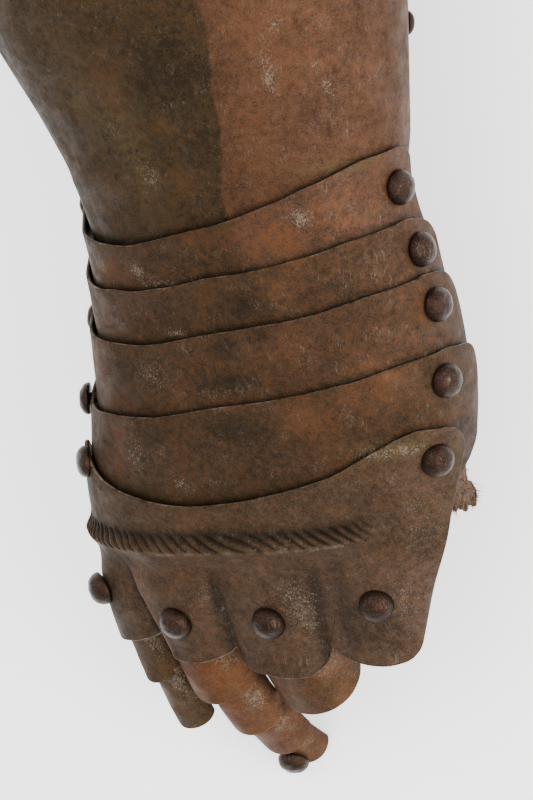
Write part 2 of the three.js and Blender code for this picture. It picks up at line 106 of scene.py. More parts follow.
def curve(keys: Sequence[float], values: Sequence[float], place: Array | float) -> Array:
    """Smooth curve through rows of (key, value), level beyond its ends.

    Between two rows it is the cubic whose slope at each row is the slope between that row's neighbours.

    Args:
        keys: The rows' keys, in any order.
        values: The rows' values.
        place: Where to read the curve.

    Returns:
        The curve's value at each place.
    """
    order = np.argsort(keys)
    k = np.asarray(keys, float)[order]
    v = np.asarray(values, float)[order]
    low = np.maximum(np.arange(len(k)) - 1, 0)
    high = np.minimum(np.arange(len(k)) + 1, len(k) - 1)
    slope = (v[high] - v[low]) / (k[high] - k[low])
    x = np.clip(place, k[0], k[-1])
    i = np.clip(np.searchsorted(k, x, side="right") - 1, 0, len(k) - 2)
    span = k[i + 1] - k[i]
    t = (x - k[i]) / span
    t2, t3 = t * t, t * t * t
    start = (2 * t3 - 3 * t2 + 1) * v[i] + (t3 - 2 * t2 + t) * span * slope[i]
    return start + (3 * t2 - 2 * t3) * v[i + 1] + (t3 - t2) * span * slope[i + 1]


def ripple(seed: int, a: Array, b: Array, cell_a: float, cell_b: float) -> Array:
    """Smooth random height from -1 to 1: a lattice of random values, blended by smoothstep.

    Args:
        seed: Seed of the random values.
        a: Place along the first direction.
        b: Place along the second direction.
        cell_a: Lattice step along the first direction.
        cell_b: Lattice step along the second direction.

    Returns:
        The height at each place.
    """
    size = 64
    lattice = np.random.default_rng(seed).uniform(-1.0, 1.0, (size, size))
    p, q = a / cell_a, b / cell_b
    i, j = np.floor(p).astype(int), np.floor(q).astype(int)
    s, t = smooth(p - i), smooth(q - j)
    near = mix(lattice[i % size, j % size], lattice[(i + 1) % size, j % size], s)
    far = mix(lattice[i % size, (j + 1) % size], lattice[(i + 1) % size, (j + 1) % size], s)
    return mix(near, far, t)


def packed(count: int, length: float, near: Sequence[float] = (0.0, 0.12, 0.3, 0.55, 0.95)) -> Array:
    """Parameters from 0 to 1 along a length in mm: even steps, with close ones at both ends for the rim.

    Args:
        count: Number of even steps.
        length: The length in mm.
        near: Distances in mm from an end where rows lie close.

    Returns:
        The parameters in rising order.
    """
    close = np.array(near) / length
    middle = np.linspace(close[-1], 1.0 - close[-1], count)
    return np.concatenate((close[:-1], middle, 1.0 - close[-2::-1]))


def rim_round(distance: Array, radius: float = RIM) -> Array:
    """How far a face draws back near its rim: a quarter circle of that radius."""
    gap = np.clip(radius - distance, 0.0, radius)
    return radius - np.sqrt(np.maximum(radius * radius - gap * gap, 0.0))


# ---------------------------------------------------------------- the body form


@dataclass(frozen=True)
class Station:
    """One arch of the body form: its middle, half width, widest level, rise, drop and squareness."""

    y: float
    middle: float
    half: float
    level: float
    rise: float
    drop: float
    power: float


@dataclass(frozen=True)
class Form:
    """The arches that every plate follows, joined by a smooth curve through each column."""

    stations: tuple[Station, ...] = (
        Station(136, -12, 78, 56, 56, 71, 2.2),
        Station(60, -5, 62, 50, 42, 44, 2.2),
        Station(12, 3, 49, 46, 31, 31, 2.3),
        Station(0, 3, 47, 44, 30, 29, 2.3),
        Station(-20, 4, 49.5, 39.5, 30, 29, 2.4),
        Station(-40, 3.5, 53, 35, 30, 29, 2.4),
        Station(-60, 1.5, 55.5, 30.5, 31, 29, 2.5),
        Station(-85, -4, 58, 25, 30, 28, 2.5),
        Station(-110, -8.5, 59, 18, 28, 26, 2.5),
        Station(-136, -11, 57, 10, 25, 24, 2.5),
    )

    def read(self, column: str, y: Array) -> Array:
        """One column of the table at each y."""
        return curve([s.y for s in self.stations], [getattr(s, column) for s in self.stations], y)

    def point(self, y: Array, angle: Array, offset: Array) -> Array:
        """Points in the frame, in mm, on the superellipse arch at y, pushed outwards by the offset.

        The half width and the height are scaled by the sine and the cosine raised to two over the squareness,
        and the underside is cut off flat.

        Args:
            y: Each place's y in mm.
            angle: Each place's angle in degrees.
            offset: How far outwards from the form, in mm.

        Returns:
            One row of x, y and z for each place.
        """
        y, angle, offset = np.broadcast_arrays(*map(np.asarray, (y, angle, offset)))
        s, c = np.sin(np.radians(angle)), np.cos(np.radians(angle))
        power = 2.0 / self.read("power", y)
        half = self.read("half", y) + offset
        tall = np.where(c >= 0, self.read("rise", y), self.read("drop", y)) + offset
        x = self.read("middle", y) + half * np.sign(s) * np.abs(s) ** power
        height = np.maximum(tall * np.sign(c) * np.abs(c) ** power, -FLAT * tall)
        return np.stack((x, y * 1.0, self.read("level", y) + height), axis=-1) + SHIFT

    def outward(self, y: float, angle: float, offset_at: Callable[[float], float]) -> Array:
        """Outward direction of a plate from points 3 mm and 1 degree to either side of a place.

        Args:
            y: Each place's y in mm.
            angle: Each place's angle in degrees.
            offset_at: The plate's offset at a y.

        Returns:
            A unit vector.
        """
        across = self.point(y, angle + 1, 0.0) - self.point(y, angle - 1, 0.0)
        down = self.point(y - 3, angle, offset_at(y - 3)) - self.point(y + 3, angle, offset_at(y + 3))
        normal = np.cross(down, across)
        return normal / np.linalg.norm(normal)


def no_offset(y: float) -> float:
    """The offset of a face that lies on the form."""
    return 0.0


FORM = Form()
ARC = 0.92


@dataclass(frozen=True)
class Pivot:
    """A rivet pair that two plates turn on, and the angles where the plates end beside it."""

    y: float
    little_y: float
    thumb: float
    little: float
    thumb_end: float
    little_end: float


PIVOTS = (
    Pivot(-3, -3, 82, -92, 97, -105),
    Pivot(-20.5, -20.5, 82, -92, 99, -105),
    Pivot(-36, -36, 80, -88, 101, -102),
    Pivot(-57, -59, 75, -74, 104, -92),
    Pivot(-79, -77, 66, -62, 102, -80),
)

# Rise of each edge that shows above its rivet pair, as (angle, rise).
WRIST_EDGE = ((-92, 8), (-78, -2), (-58, -7), (-25, -9.5), (0, -6), (30, 1), (60, 8), (82, 11))
LAME_EDGE = (
    (-90, 8), (-74, 0), (-60, -3.2), (-40, -4.7), (-20, -5), (5, -1.5), (30, 2), (55, 6), (78, 8.5),
)
KNUCKLE_EDGE = (
    (-65, 8), (-49, -1), (-30, -7), (-10, -10), (3, -8), (22, -3), (42, 5), (56, 9), (68, 9),
)
SEAM_EDGES = (WRIST_EDGE, LAME_EDGE, LAME_EDGE, LAME_EDGE, KNUCKLE_EDGE)
PIVOT_MARGIN = 8.0
END_MARGIN = 13.0
CORNER = 8.0
COVER = 6.0
TUCK_START = 4.0
TUCK_SLOPE = 0.1


def seam_edge(seam: int, angle: Array) -> Array:
    """The y of the edge that shows where one plate starts over the one before it, a little uneven.

    Args:
        seam: The seam's number, from 0.
        angle: Each place's angle in degrees.

    Returns:
        The y of the edge at each angle.
    """
    keys, rises = zip(*SEAM_EDGES[seam])
    cut = 0.22 * ripple(40 + seam, angle, angle * 0.0, 9.0, 1.0)
    return PIVOTS[seam].y + curve(keys, rises, angle) + cut


def hidden_edge(seam: int, angle: Array) -> Array:
    """The y of the hidden edge of the plate that lies under a seam."""
    keys, rises = zip(*SEAM_EDGES[seam])
    return PIVOTS[seam].y + np.minimum(curve(keys, rises, angle) - COVER, -PIVOT_MARGIN)


def corner_cut(angle_to_end: Array) -> Array:
    """How far the corners of a plate's end are drawn in, as a quarter circle."""
    t = np.clip(angle_to_end / END_MARGIN, 0.0, 1.0)
    return CORNER * (1.0 - np.sqrt(1.0 - (1.0 - t) ** 2))


def relief(y: Array, angle: Array) -> Array:
    """Hammer marks and old dents in mm, shared by all plates so that their gaps stay even.

    Three random ripples of falling size, the larger ones fading out on the palm's side.

    Args:
        y: Each place's y in mm.
        angle: Each place's angle in degrees.

    Returns:
        The height at each place, in mm.
    """
    fade = 1.0 - smooth((np.abs(angle) - 92.0) / 20.0)
    broad = 0.32 * ripple(1, y, angle, 26.0, 27.0)
    small = 0.11 * ripple(2, y, angle, 8.0, 9.0)
    fine = 0.035 * ripple(3, y, angle, 2.6, 3.1)
    return fade * (broad + small) + fine


# ---------------------------------------------------------------- stains


@dataclass(frozen=True)
class Stain:
    """A soft patch on the plates: its mark, its middle, its reach in mm and degrees, its strength."""

    mark: Mark
    y: float
    angle: float
    long: float
    wide: float
    strength: float

    def at(self, y: Array, angle: Array) -> Array:
        """Bell-shaped share of the stain at each place."""
        far = ((y - self.y) / self.long) ** 2
        return self.strength * np.exp(-far - ((angle - self.angle) / self.wide) ** 2)


# Stains as (y, angle, reach in mm along the arm, reach in degrees across it, strength).
STAIN_ROWS: Mapping[Mark, tuple[tuple[float, ...], ...]] = {
    Mark.WARM: (
        (-12, 18, 6, 10, 0.7), (-15, 27, 6, 7, 0.9), (-8, 42, 6, 9, 0.7), (-20, -40, 5, 8, 0.8),
        (-27, 17, 4, 6, 0.8), (-28, -2, 3, 4, 0.5), (-43, 5, 3, 4, 0.8), (-44, 18, 4, 7, 0.7),
        (-58, 0, 3, 7, 0.7), (-46, -56, 8, 9, 0.7), (-72, -36, 9, 7, 0.6), (-64, 17, 6, 9, 0.6),
        (-59, 34, 5, 8, 0.6), (-54, 48, 5, 8, 0.6), (29, -10, 5, 4, 0.5), (19, 0, 5, 5, 0.4),
        (22, -12, 5, 4, 0.4), (5, 0, 6, 5, 0.5), (40, 40, 14, 14, 0.5), (12, 24, 16, 7, 0.6),
        (-108, -10, 10, 6, 0.5), (-116, -33, 9, 3, 0.9), (-128, -2, 7, 6, 0.5), (-122, 21, 9, 4, 0.4),
    ),
    Mark.PALE: (
        (6, -10, 3.6, 4.5, 1.1), (20, -44, 20, 9, 0.35), (4, -27, 8, 9, 0.35), (30, 34, 4.5, 2.8, 1.15),
        (37, 33, 3, 3, 0.7), (44, 39, 4, 4, 0.8), (26, 54, 3.5, 3.5, 1.0), (33, 50, 2, 2, 0.7),
        (-8, 34, 4, 5, 1.0), (-20, -24, 3, 4, 0.8), (-24, -14, 2, 9, 0.9), (-34, -36, 5, 4, 0.7),
        (-38, -13, 1.5, 5, 0.9), (-50, -20, 6, 7, 0.75), (-56, -2, 2, 5, 0.6), (-74, -28, 8, 6, 0.7),
        (-82, -12, 4, 8, 0.6), (-116, 11, 10, 7, 0.5), (-126, 11, 9, 6, 0.5), (-120, 46, 8, 8, 0.6),
        (-96, 56, 12, 9, 0.6), (-118, -10, 6, 5, 0.5), (-75, 46, 2.5, 16, 0.9), (-110, -60, 14, 6, 0.4),
    ),
    Mark.DARK: (
        (-30, 6, 4, 6, 0.7), (-31, -15, 5, 9, 0.5), (-43, 1, 3, 3, 0.8), (-53, 0, 4, 6, 0.7),
        (-40, 10, 3, 4, 0.7), (-66, 2, 6, 9, 0.6), (-68, -22, 6, 8, 0.5), (38, 6, 16, 8, 0.3),
        (24, 8, 12, 6, 0.25), (-120, 24, 16, 4, 0.7), (-130, 34, 6, 10, 0.4), (-116, -52, 12, 6, 0.6),
    ),
    Mark.POWDER: (
        (5, 52, 2.2, 18, 0.9), (-74, 46, 2.6, 15, 0.8), (14, -14, 14, 9, 0.5), (34, -22, 16, 14, 0.4),
    ),
}
STAINS = tuple(Stain(mark, *row) for mark, rows in STAIN_ROWS.items() for row in rows)


def stain_marks(y: Array, angle: Array) -> dict[Mark, Array]:
    """The stains' marks at each place of a plate, added up for each mark.

    Args:
        y: Each place's y in mm.
        angle: Each place's angle in degrees.

    Returns:
        The marks.
    """
    marks = {mark: np.zeros(np.shape(y)) for mark in (Mark.WARM, Mark.PALE, Mark.DARK, Mark.POWDER)}
    for stain in STAINS:
        marks[stain.mark] += stain.at(y, angle)
    return marks


# ---------------------------------------------------------------- meshes


def signed_volume(points: Array, quads: Array) -> float:
    """Six times the volume inside quads, positive when they face outwards."""
    a, b, c, d = (points[quads[:, n]] for n in range(4))
    return float(np.sum(a * np.cross(b, c)) + np.sum(a * np.cross(c, d)))


def new_piece(name: str, points: Array, faces: Sequence[Array],
              marks: Mapping[Mark, Array]) -> bpy.types.Object:
    """Puts points in mm and faces into a mesh object in metres.

    Args:
        name: The object's name.
        points: One row for each vertex, in mm in the frame.
        faces: Arrays of vertex numbers, one row for each face.
        marks: One value for each vertex, for each mark.

    Returns:
        The object, at the origin, with smooth shading.
    """
    mesh = bpy.data.meshes.new(name)
    mesh.from_pydata((points * MM).tolist(), [], [row for part in faces for row in part.tolist()])
    mesh.shade_smooth()
    for mark, values in marks.items():
        layer = mesh.attributes.new(mark.value, "FLOAT", "POINT")
        layer.data.foreach_set("value", np.ascontiguousarray(values, np.float32).ravel())
    mesh.update()
    made = bpy.data.objects.new(name, mesh)
    bpy.context.scene.collection.objects.link(made)
    return made


def wall(name: str, outer: Array, inner: Array, marks: Mapping[Mark, Array]) -> bpy.types.Object:
    """A closed wall from two grids of points: quads on both faces and round the rim, facing outwards.

    The faces share their grid, and the rim joins the two outlines quad by quad.

    Args:
        name: The object's name.
        outer: Rows and columns of points in mm, on the outer face.
        inner: The same on the inner face.
        marks: One value for each vertex of a face, for each mark.

    Returns:
        The object.
    """
    rows, columns = outer.shape[:2]
    n = np.arange(rows * columns).reshape(rows, columns)
    total = rows * columns
    front = np.stack((n[:-1, :-1], n[:-1, 1:], n[1:, 1:], n[1:, :-1]), axis=-1).reshape(-1, 4)
    loop = np.concatenate((n[0, :-1], n[:-1, -1], n[-1, :0:-1], n[:0:-1, 0]))
    after = np.roll(loop, -1)
    rim = np.stack((after, loop, loop + total, after + total), axis=-1)
    quads = np.concatenate((front, front[:, ::-1] + total, rim))
    points = np.concatenate((outer.reshape(-1, 3), inner.reshape(-1, 3)))
    if signed_volume(points, quads) < 0:
        quads = quads[:, ::-1]
    both = {mark: np.concatenate((values.ravel(), values.ravel())) for mark, values in marks.items()}
    both[Mark.INSIDE] = np.repeat((0.0, 1.0), total)
    return new_piece(name, points, [quads], both)


def lathe(name: str, profile: Array, place: Array, turn: Array, sides: int, bumps: float,
          marks: Mapping[Mark, float], seed: int) -> bpy.types.Object:
    """A turned piece: the profile's (radius, height) rows swept round +Z, then turned and placed.

    Args:
        name: The object's name.
        profile: Rows of (radius, height) in mm, from the lowest pole to the highest, which lie on the axis.
        place: Where the local origin goes, in mm.
        turn: Rotation as a 3 by 3 array.
        sides: Faces round the axis.
        bumps: Height of the random unevenness in mm.
        marks: A value for the whole piece, for each mark.
        seed: Seed of the unevenness.

    Returns:
        The object.
    """
    ring = np.linspace(0.0, 2.0 * np.pi, sides, endpoint=False)
    body = profile[1:-1]
    high = smooth(body[:, 1] / profile[-1, 1])[:, None]
    east, north = body[:, :1] * np.cos(ring), body[:, :1] * np.sin(ring)
    uneven = bumps * high * ripple(seed, east + 50, north + 50, 1.3, 1.3)
    radius = body[:, :1] + uneven
    z = body[:, 1:] + uneven
    rings = np.stack((radius * np.cos(ring), radius * np.sin(ring), z * np.ones(sides)), axis=-1)
    poles = np.array(((0.0, 0.0, profile[0, 1]), (0.0, 0.0, profile[-1, 1])))
    local = np.concatenate((rings.reshape(-1, 3), poles))
    n = np.arange(len(body) * sides).reshape(len(body), sides)
    right = np.roll(n, -1, axis=1)
    quads = np.stack((n[:-1], right[:-1], right[1:], n[1:]), axis=-1).reshape(-1, 4)
    low, top = len(local) - 2, len(local) - 1
    fans = np.concatenate((
        np.stack((np.full(sides, low), right[0], n[0]), axis=-1),
        np.stack((np.full(sides, top), n[-1], right[-1]), axis=-1),
    ))
    values = {mark: np.full(len(local), value) for mark, value in marks.items()}
    values[Mark.EDGE] = np.append(np.repeat(0.55 * smooth((high[:, 0] - 0.5) / 0.5), sides), (0.0, 0.55))
    return new_piece(name, local @ turn.T + place, [quads, fans], values)


def turn_to(direction: Array) -> Array:
    """The shortest rotation that takes +Z to a direction."""
    return np.array(Vector((0, 0, 1)).rotation_difference(Vector(direction)).to_matrix())


def dress(piece: bpy.types.Object, material: bpy.types.Material, body: str,
          nodes: Iterable[str]) -> None:
    """Gives a piece its material, its body and the nodes that it stands for, and reports it.

    Args:
        piece: The finished piece.
        material: Its material.
        body: The body that carries it.
        nodes: The CAD nodes that it stands for.
    """
    piece.data.materials.append(material)
    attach(piece, body)
    stands_for = list(nodes)
    if stands_for:
        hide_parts(*stands_for)
    log.info("%s: %d faces on %s", piece.name, len(piece.data.polygons), body)


# ---------------------------------------------------------------- node trees


class Graph:
    """Short ways to build nodes in one tree."""

    def __init__(self, tree: bpy.types.NodeTree) -> None:
        """Takes the tree to build in."""
        self.tree = tree

    def node(self, kind: str, inputs: Mapping[Any, Any] | None = None, **settings: Any) -> bpy.types.Node:
        """Adds a shader node, with its settings, and with sockets fed by values or by other sockets.

        Args:
            kind: The node's type without its ShaderNode prefix.
            inputs: Values or sockets by input.
            settings: The node's own properties.

        Returns:
            The node.
        """
        made = self.tree.nodes.new("ShaderNode" + kind)
        for name, value in settings.items():
            setattr(made, name, value)
        for key, value in (inputs or {}).items():
            if isinstance(value, bpy.types.NodeSocket):
                self.tree.links.new(value, made.inputs[key])
            else:
                made.inputs[key].default_value = value
        return made

    def math(self, operation: str, *values: Any) -> bpy.types.NodeSocket:
        """A Math node's result."""
        return self.node("Math", dict(enumerate(values)), operation=operation).outputs[0]

    def span(self, value: Any, low: float, high: float, to_low: float = 0.0,
             to_high: float = 1.0) -> bpy.types.NodeSocket:
        """A value mapped by smoothstep from low..high to to_low..to_high."""
        inputs = {"Value": value, "From Min": low, "From Max": high, "To Min": to_low, "To Max": to_high}
        return self.node("MapRange", inputs, interpolation_type="SMOOTHSTEP").outputs["Result"]

    def blend(self, share: Any, low: Any, high: Any, how: str = "MIX") -> bpy.types.NodeSocket:
        """Two colours mixed by a share."""
        return self.node("Mix", {0: share, 6: low, 7: high}, data_type="RGBA", blend_type=how).outputs[2]

    def noise(self, where: Any, scale: Any, detail: float = 3.0, rough: float = 0.6) -> bpy.types.NodeSocket:
        """A noise texture's value."""
        inputs = {"Vector": where, "Scale": scale, "Detail": detail, "Roughness": rough}
        return self.node("TexNoise", inputs).outputs["Fac"]

    def mark(self, mark: Mark) -> bpy.types.NodeSocket:
        """The value of one of a piece's marks."""
        return self.node("Attribute", attribute_name=mark.value).outputs["Fac"]

    def stretched(self, where: Any, scale: Sequence[float]) -> bpy.types.NodeSocket:
        """Coordinates scaled along each axis."""
        return self.node("Mapping", {"Vector": where, "Scale": tuple(scale)}).outputs["Vector"]


@dataclass(frozen=True)
class Effect:
    """A shared effect as a node group: its inputs with their defaults, its outputs and its wiring."""

    name: str
    inputs: tuple[tuple[str, str, Any], ...]
    outputs: tuple[tuple[str, str], ...]
    wire: Callable[[Graph, Mapping[str, Any]], Mapping[str, Any]]

    def tree(self) -> bpy.types.NodeTree:
        """The group's tree, built the first time that it is asked for.

        Returns:
            The node tree.
        """
        found = bpy.data.node_groups.get(self.name)
        if found:
            return found
        tree = bpy.data.node_groups.new(self.name, "ShaderNodeTree")
        for name, kind, default in self.inputs:
            socket = tree.interface.new_socket(name=name, in_out="INPUT", socket_type="NodeSocket" + kind)
            if default is not None:
                socket.default_value = default
        for name, kind in self.outputs:
            tree.interface.new_socket(name=name, in_out="OUTPUT", socket_type="NodeSocket" + kind)
        graph = Graph(tree)
        entry = tree.nodes.new("NodeGroupInput")
        leave = tree.nodes.new("NodeGroupOutput")
        for name, socket in self.wire(graph, entry.outputs).items():
            tree.links.new(socket, leave.inputs[name])
        return tree

    def place(self, graph: Graph, inputs: Mapping[str, Any]) -> bpy.types.NodeOutputs:
        """Places the group in a material, feeds its inputs and returns its outputs."""
        return graph.node("Group", inputs, node_tree=self.tree()).outputs


def paint(code: int, gain: float = 1.0) -> tuple[float, float, float, float]:
    """A hex colour as linear RGBA, made lighter or darker by a gain.

    Args:
        code: The colour as 0xRRGGBB.
        gain: Factor on the linear colour.

    Returns:
        Linear red, green, blue and alpha.
    """
    parts = [((code >> shift) & 255) / 255.0 for shift in (16, 8, 0)]
    linear = [p / 12.92 if p <= 0.04045 else ((p + 0.055) / 1.055) ** 2.4 for p in parts]
    return (linear[0] * gain, linear[1] * gain, linear[2] * gain, 1.0)


def wire_mottle(g: Graph, i: Mapping[str, Any]) -> Mapping[str, Any]:
    """Three colours laid over each other where coarse, fine and grainy noise add up to more and more.

    Args:
        g: The group's graph.
        i: The group's inputs by name.

    Returns:
        The colour, and the grain as a height.
    """
    coarse = g.noise(i["Coordinates"], i["Scale"], 6.0, 0.68)
    fine = g.noise(i["Coordinates"], g.math("MULTIPLY", i["Scale"], 8.0), 4.0, 0.7)
    grain = g.noise(i["Coordinates"], g.math("MULTIPLY", i["Scale"], 42.0), 2.0, 0.7)
    total = g.math("MULTIPLY_ADD", coarse, 0.26, g.math("MULTIPLY", fine, 0.34))
    total = g.math("ADD", g.math("MULTIPLY_ADD", grain, 0.42, total), g.math("SUBTRACT", i["Warmth"], 0.5))
    low = g.blend(g.span(total, 0.4, 0.51), i["Dark"], i["Middle"])
    return {"Color": g.blend(g.span(total, 0.5, 0.62), low, i["Warm"]), "Height": grain}


def wire_speckle(g: Graph, i: Mapping[str, Any]) -> Mapping[str, Any]:
    """Small pale scuffs: fine noise over a threshold that drops where the amount is high.

    Args:
        g: The group's graph.
        i: The group's inputs by name.

    Returns:
        The scuffs' mask.
    """
    flakes = g.noise(g.stretched(i["Coordinates"], (1.0, 0.55, 1.0)), i["Scale"], 3.0, 0.75)
    cluster = g.noise(i["Coordinates"], g.math("MULTIPLY", i["Scale"], 0.06), 2.0, 0.6)
    pushed = g.math("ADD", flakes, g.math("MULTIPLY", i["Amount"], g.math("MULTIPLY", cluster, 0.42)))
    return {"Mask": g.span(pushed, 0.66, 0.8)}


def wire_pits(g: Graph, i: Mapping[str, Any]) -> Mapping[str, Any]:
    """Rust pits: the middles of random cells sink where coarser noise allows, over a fine grain.

    Args:
        g: The group's graph.
        i: The group's inputs by name.

    Returns:
        The height and the pits' mask.
    """
    cells = g.node("TexVoronoi", {"Vector": i["Coordinates"], "Scale": i["Scale"], "Randomness": 1.0})
    pit = g.span(cells.outputs["Distance"], 0.08, 0.36, 1.0, 0.0)
    where = g.span(g.noise(i["Coordinates"], g.math("MULTIPLY", i["Scale"], 0.14), 2.0, 0.6), 0.42, 0.62)
    grain = g.noise(i["Coordinates"], g.math("MULTIPLY", i["Scale"], 2.2), 4.0, 0.75)
    sunk = g.math("MULTIPLY", g.math("MULTIPLY", pit, where), i["Depth"])
    height = g.math("SUBTRACT", g.math("MULTIPLY", grain, 0.5), sunk)
    return {"Height": height, "Mask": g.math("MULTIPLY", pit, where)}


def wire_wear_and_highlight(g: Graph, i: Mapping[str, Any]) -> Mapping[str, Any]:
    """Bright worn rims, and the painted highlight along the knuckle plate's roped ridge: the edge mark,
    broken up by noise.

    Args:
        g: The group's graph.
        i: The group's inputs by name.

    Returns:
        The mask of the worn rims and the painted highlight.
    """
    broken = g.noise(i["Coordinates"], i["Scale"], 4.0, 0.7)
    pushed = g.math("MULTIPLY", i["Edge"], g.math("MULTIPLY_ADD", broken, 1.5, 0.05))
    return {"Mask": g.span(pushed, 0.5, 0.95)}


def wire_scratches(g: Graph, i: Mapping[str, Any]) -> Mapping[str, Any]:
    """Hair-fine scratches along Y: thin lines where long, stretched noise crosses its middle.

    Args:
        g: The group's graph.
        i: The group's inputs by name.

    Returns:
        The scratches' mask.
    """
    long_noise = g.noise(g.stretched(i["Coordinates"], (1.0, 0.07, 1.0)), i["Scale"], 2.0, 0.5)
    line = g.span(g.math("ABSOLUTE", g.math("SUBTRACT", long_noise, 0.5)), 0.004, 0.02, 1.0, 0.0)
    where = g.span(g.noise(i["Coordinates"], g.math("MULTIPLY", i["Scale"], 0.2), 2.0, 0.6), 0.5, 0.68)
    return {"Mask": g.math("MULTIPLY", line, where)}


PIT_COLOR = 0x1F1610
# Colour of dark stains and of painted shade.
STAIN_AND_SHADE_COLOR = 0x17100B
INSIDE_COLOR = 0x2A1E16
COORDINATES = ("Coordinates", "Vector", None)
MOTTLE = Effect(
    "Rust Mottle",
    (COORDINATES, ("Dark", "Color", paint(0x30231A)), ("Middle", "Color", paint(0x4A3526)),
     ("Warm", "Color", paint(0x6E4628)), ("Scale", "Float", 40.0), ("Warmth", "Float", 0.5)),
    (("Color", "Color"), ("Height", "Float")),
    wire_mottle,
)
SPECKLE = Effect(
    "Pale Scuffs", (COORDINATES, ("Amount", "Float", 0.0), ("Scale", "Float", 2400.0)),
    (("Mask", "Float"),), wire_speckle,
)
PITS = Effect(
    "Rust Pits", (COORDINATES, ("Scale", "Float", 900.0), ("Depth", "Float", 1.0)),
    (("Height", "Float"), ("Mask", "Float")), wire_pits,
)
# Worn rims, and the painted highlight along the knuckle plate's roped ridge.
WEAR_AND_HIGHLIGHT = Effect(
    "Edge Wear And Highlight", (COORDINATES, ("Edge", "Float", 0.0), ("Scale", "Float", 300.0)),
    (("Mask", "Float"),), wire_wear_and_highlight,
)
SCRATCHES = Effect(
    "Hair Scratches", (COORDINATES, ("Scale", "Float", 900.0)), (("Mask", "Float"),), wire_scratches,
)


def new_material(name: str) -> tuple[bpy.types.Material, Graph, bpy.types.NodeSocket]:
    """An empty material, the graph of its tree, and its Object coordinates.

    Args:
        name: The material's name.

    Returns:
        The material, the graph and the coordinates' socket.
    """
    material = bpy.data.materials.new(name)
    material.use_nodes = True
    material.node_tree.nodes.clear()
    graph = Graph(material.node_tree)
    return material, graph, graph.node("TexCoord").outputs["Object"]


def mottle_colors(codes: Sequence[int], gain: float = 1.0) -> dict[str, tuple[float, float, float, float]]:
    """The three colour inputs of a mottle."""
    return {name: paint(code, gain) for name, code in zip(("Dark", "Middle", "Warm"), codes)}


@dataclass(frozen=True)
class IronFinish:
    """Rusted iron: a cold and a warm mottle mixed by the tone mark, with stains, worn rims, pits, painted
    shade and a painted highlight.
    """

    name: str
    cold: tuple[int, int, int] = (0x332717, 0x4C3922, 0x614224)
    warm: tuple[int, int, int] = (0x4E3424, 0x68462F, 0x7C5136)
    pale: int = 0xA39684
    # Colour of worn rims and of the painted highlight on the roped ridge.
    wear_and_highlight_color: int = 0x9C8A74
    powder: int = 0x75653F
    gain: float = 0.46
    metallic: float = 0.45
    specular: float = 0.12
    roughness: tuple[float, float] = (0.5, 0.78)
    bump: float = 0.00022
    mottle_scale: float = 60.0
    pit_scale: float = 900.0

    def build(self) -> bpy.types.Material:
        """The material, built from the shared effects.

        Returns:
            The material.
        """
        material, g, where = new_material(self.name)
        pits = PITS.place(g, {"Coordinates": where, "Scale": self.pit_scale, "Depth": 0.9})
        base: dict[str, Any] = {"Coordinates": where, "Scale": self.mottle_scale}
        warmth = g.math("MULTIPLY_ADD", g.mark(Mark.WARM), 0.08, 0.49)
        # The dark mark holds painted shade as well as dark stains, and it also cools the mottle.
        warmth = g.math("SUBTRACT", warmth, g.math("MULTIPLY", g.mark(Mark.DARK), 0.1))
        base["Warmth"] = warmth
        cold = MOTTLE.place(g, {**base, **mottle_colors(self.cold, self.gain)})
        warm = MOTTLE.place(g, {**base, **mottle_colors(self.warm, self.gain)})
        ragged = g.math("MULTIPLY_ADD", g.noise(where, 110.0, 5.0, 0.7), 0.5, -0.25)
        tone = g.span(g.math("ADD", g.mark(Mark.TONE), ragged), 0.2, 0.8)
        color = g.blend(tone, cold["Color"], warm["Color"])
        patch = g.span(g.math("MULTIPLY_ADD", ragged, 1.8, g.mark(Mark.WARM)), 0.15, 1.2)
        color = g.blend(g.math("MULTIPLY", patch, 0.5), color, warm["Color"])
        powder = g.math("MULTIPLY", g.mark(Mark.POWDER), g.span(g.noise(where, 420.0, 4.0, 0.75), 0.35, 0.7))
        color = g.blend(g.math("MULTIPLY", powder, 0.75), color, paint(self.powder, self.gain))
        color = g.blend(g.math("MULTIPLY", pits["Mask"], 0.3), color, paint(PIT_COLOR, self.gain))
        # Darkens towards the stain-and-shade colour by the dark mark. This covers real dark stains, and
        # painted shade beside seams, in the lobes' valleys, on the roped ridge and at the finger scales'
        # roots and sides.
        color = g.blend(g.span(g.mark(Mark.DARK), 0.0, 2.0, 0.0, 0.85), color, paint(STAIN_AND_SHADE_COLOR, self.gain))
        # Worn rims, and the painted highlight on the roped ridge, lighten the colour here and lower the
        # roughness below.
        wear_and_highlight = WEAR_AND_HIGHLIGHT.place(g, {"Coordinates": where, "Edge": g.mark(Mark.EDGE)})["Mask"]
        color = g.blend(g.math("MULTIPLY", wear_and_highlight, 0.7), color, paint(self.wear_and_highlight_color, self.gain))
        scuffs = SPECKLE.place(g, {"Coordinates": where, "Amount": g.mark(Mark.PALE)})["Mask"]
        color = g.blend(g.math("MULTIPLY", scuffs, 0.62), color, paint(self.pale, self.gain))
        lines = SCRATCHES.place(g, {"Coordinates": where})["Mask"]
        color = g.blend(g.math("MULTIPLY", lines, 0.28), color, paint(self.pale, self.gain))
        color = g.blend(g.math("MULTIPLY", g.mark(Mark.INSIDE), 0.7), color, paint(INSIDE_COLOR, self.gain))
        rough = g.span(g.noise(where, 130.0, 4.0, 0.7), 0.3, 0.7, *self.roughness)
        rough = g.math("SUBTRACT", rough, g.math("MULTIPLY", wear_and_highlight, 0.12))
        height = g.math("MULTIPLY_ADD", cold["Height"], 0.5, pits["Height"])
        bump = g.node("Bump", {"Strength": 0.6, "Distance": self.bump, "Height": height})
        shader = g.node("BsdfPrincipled", {
            "Base Color": color, "Roughness": rough, "Metallic": self.metallic,
            "Specular IOR Level": self.specular, "Normal": bump.outputs["Normal"],
        })
        g.node("OutputMaterial", {"Surface": shader.outputs["BSDF"]})
        return material


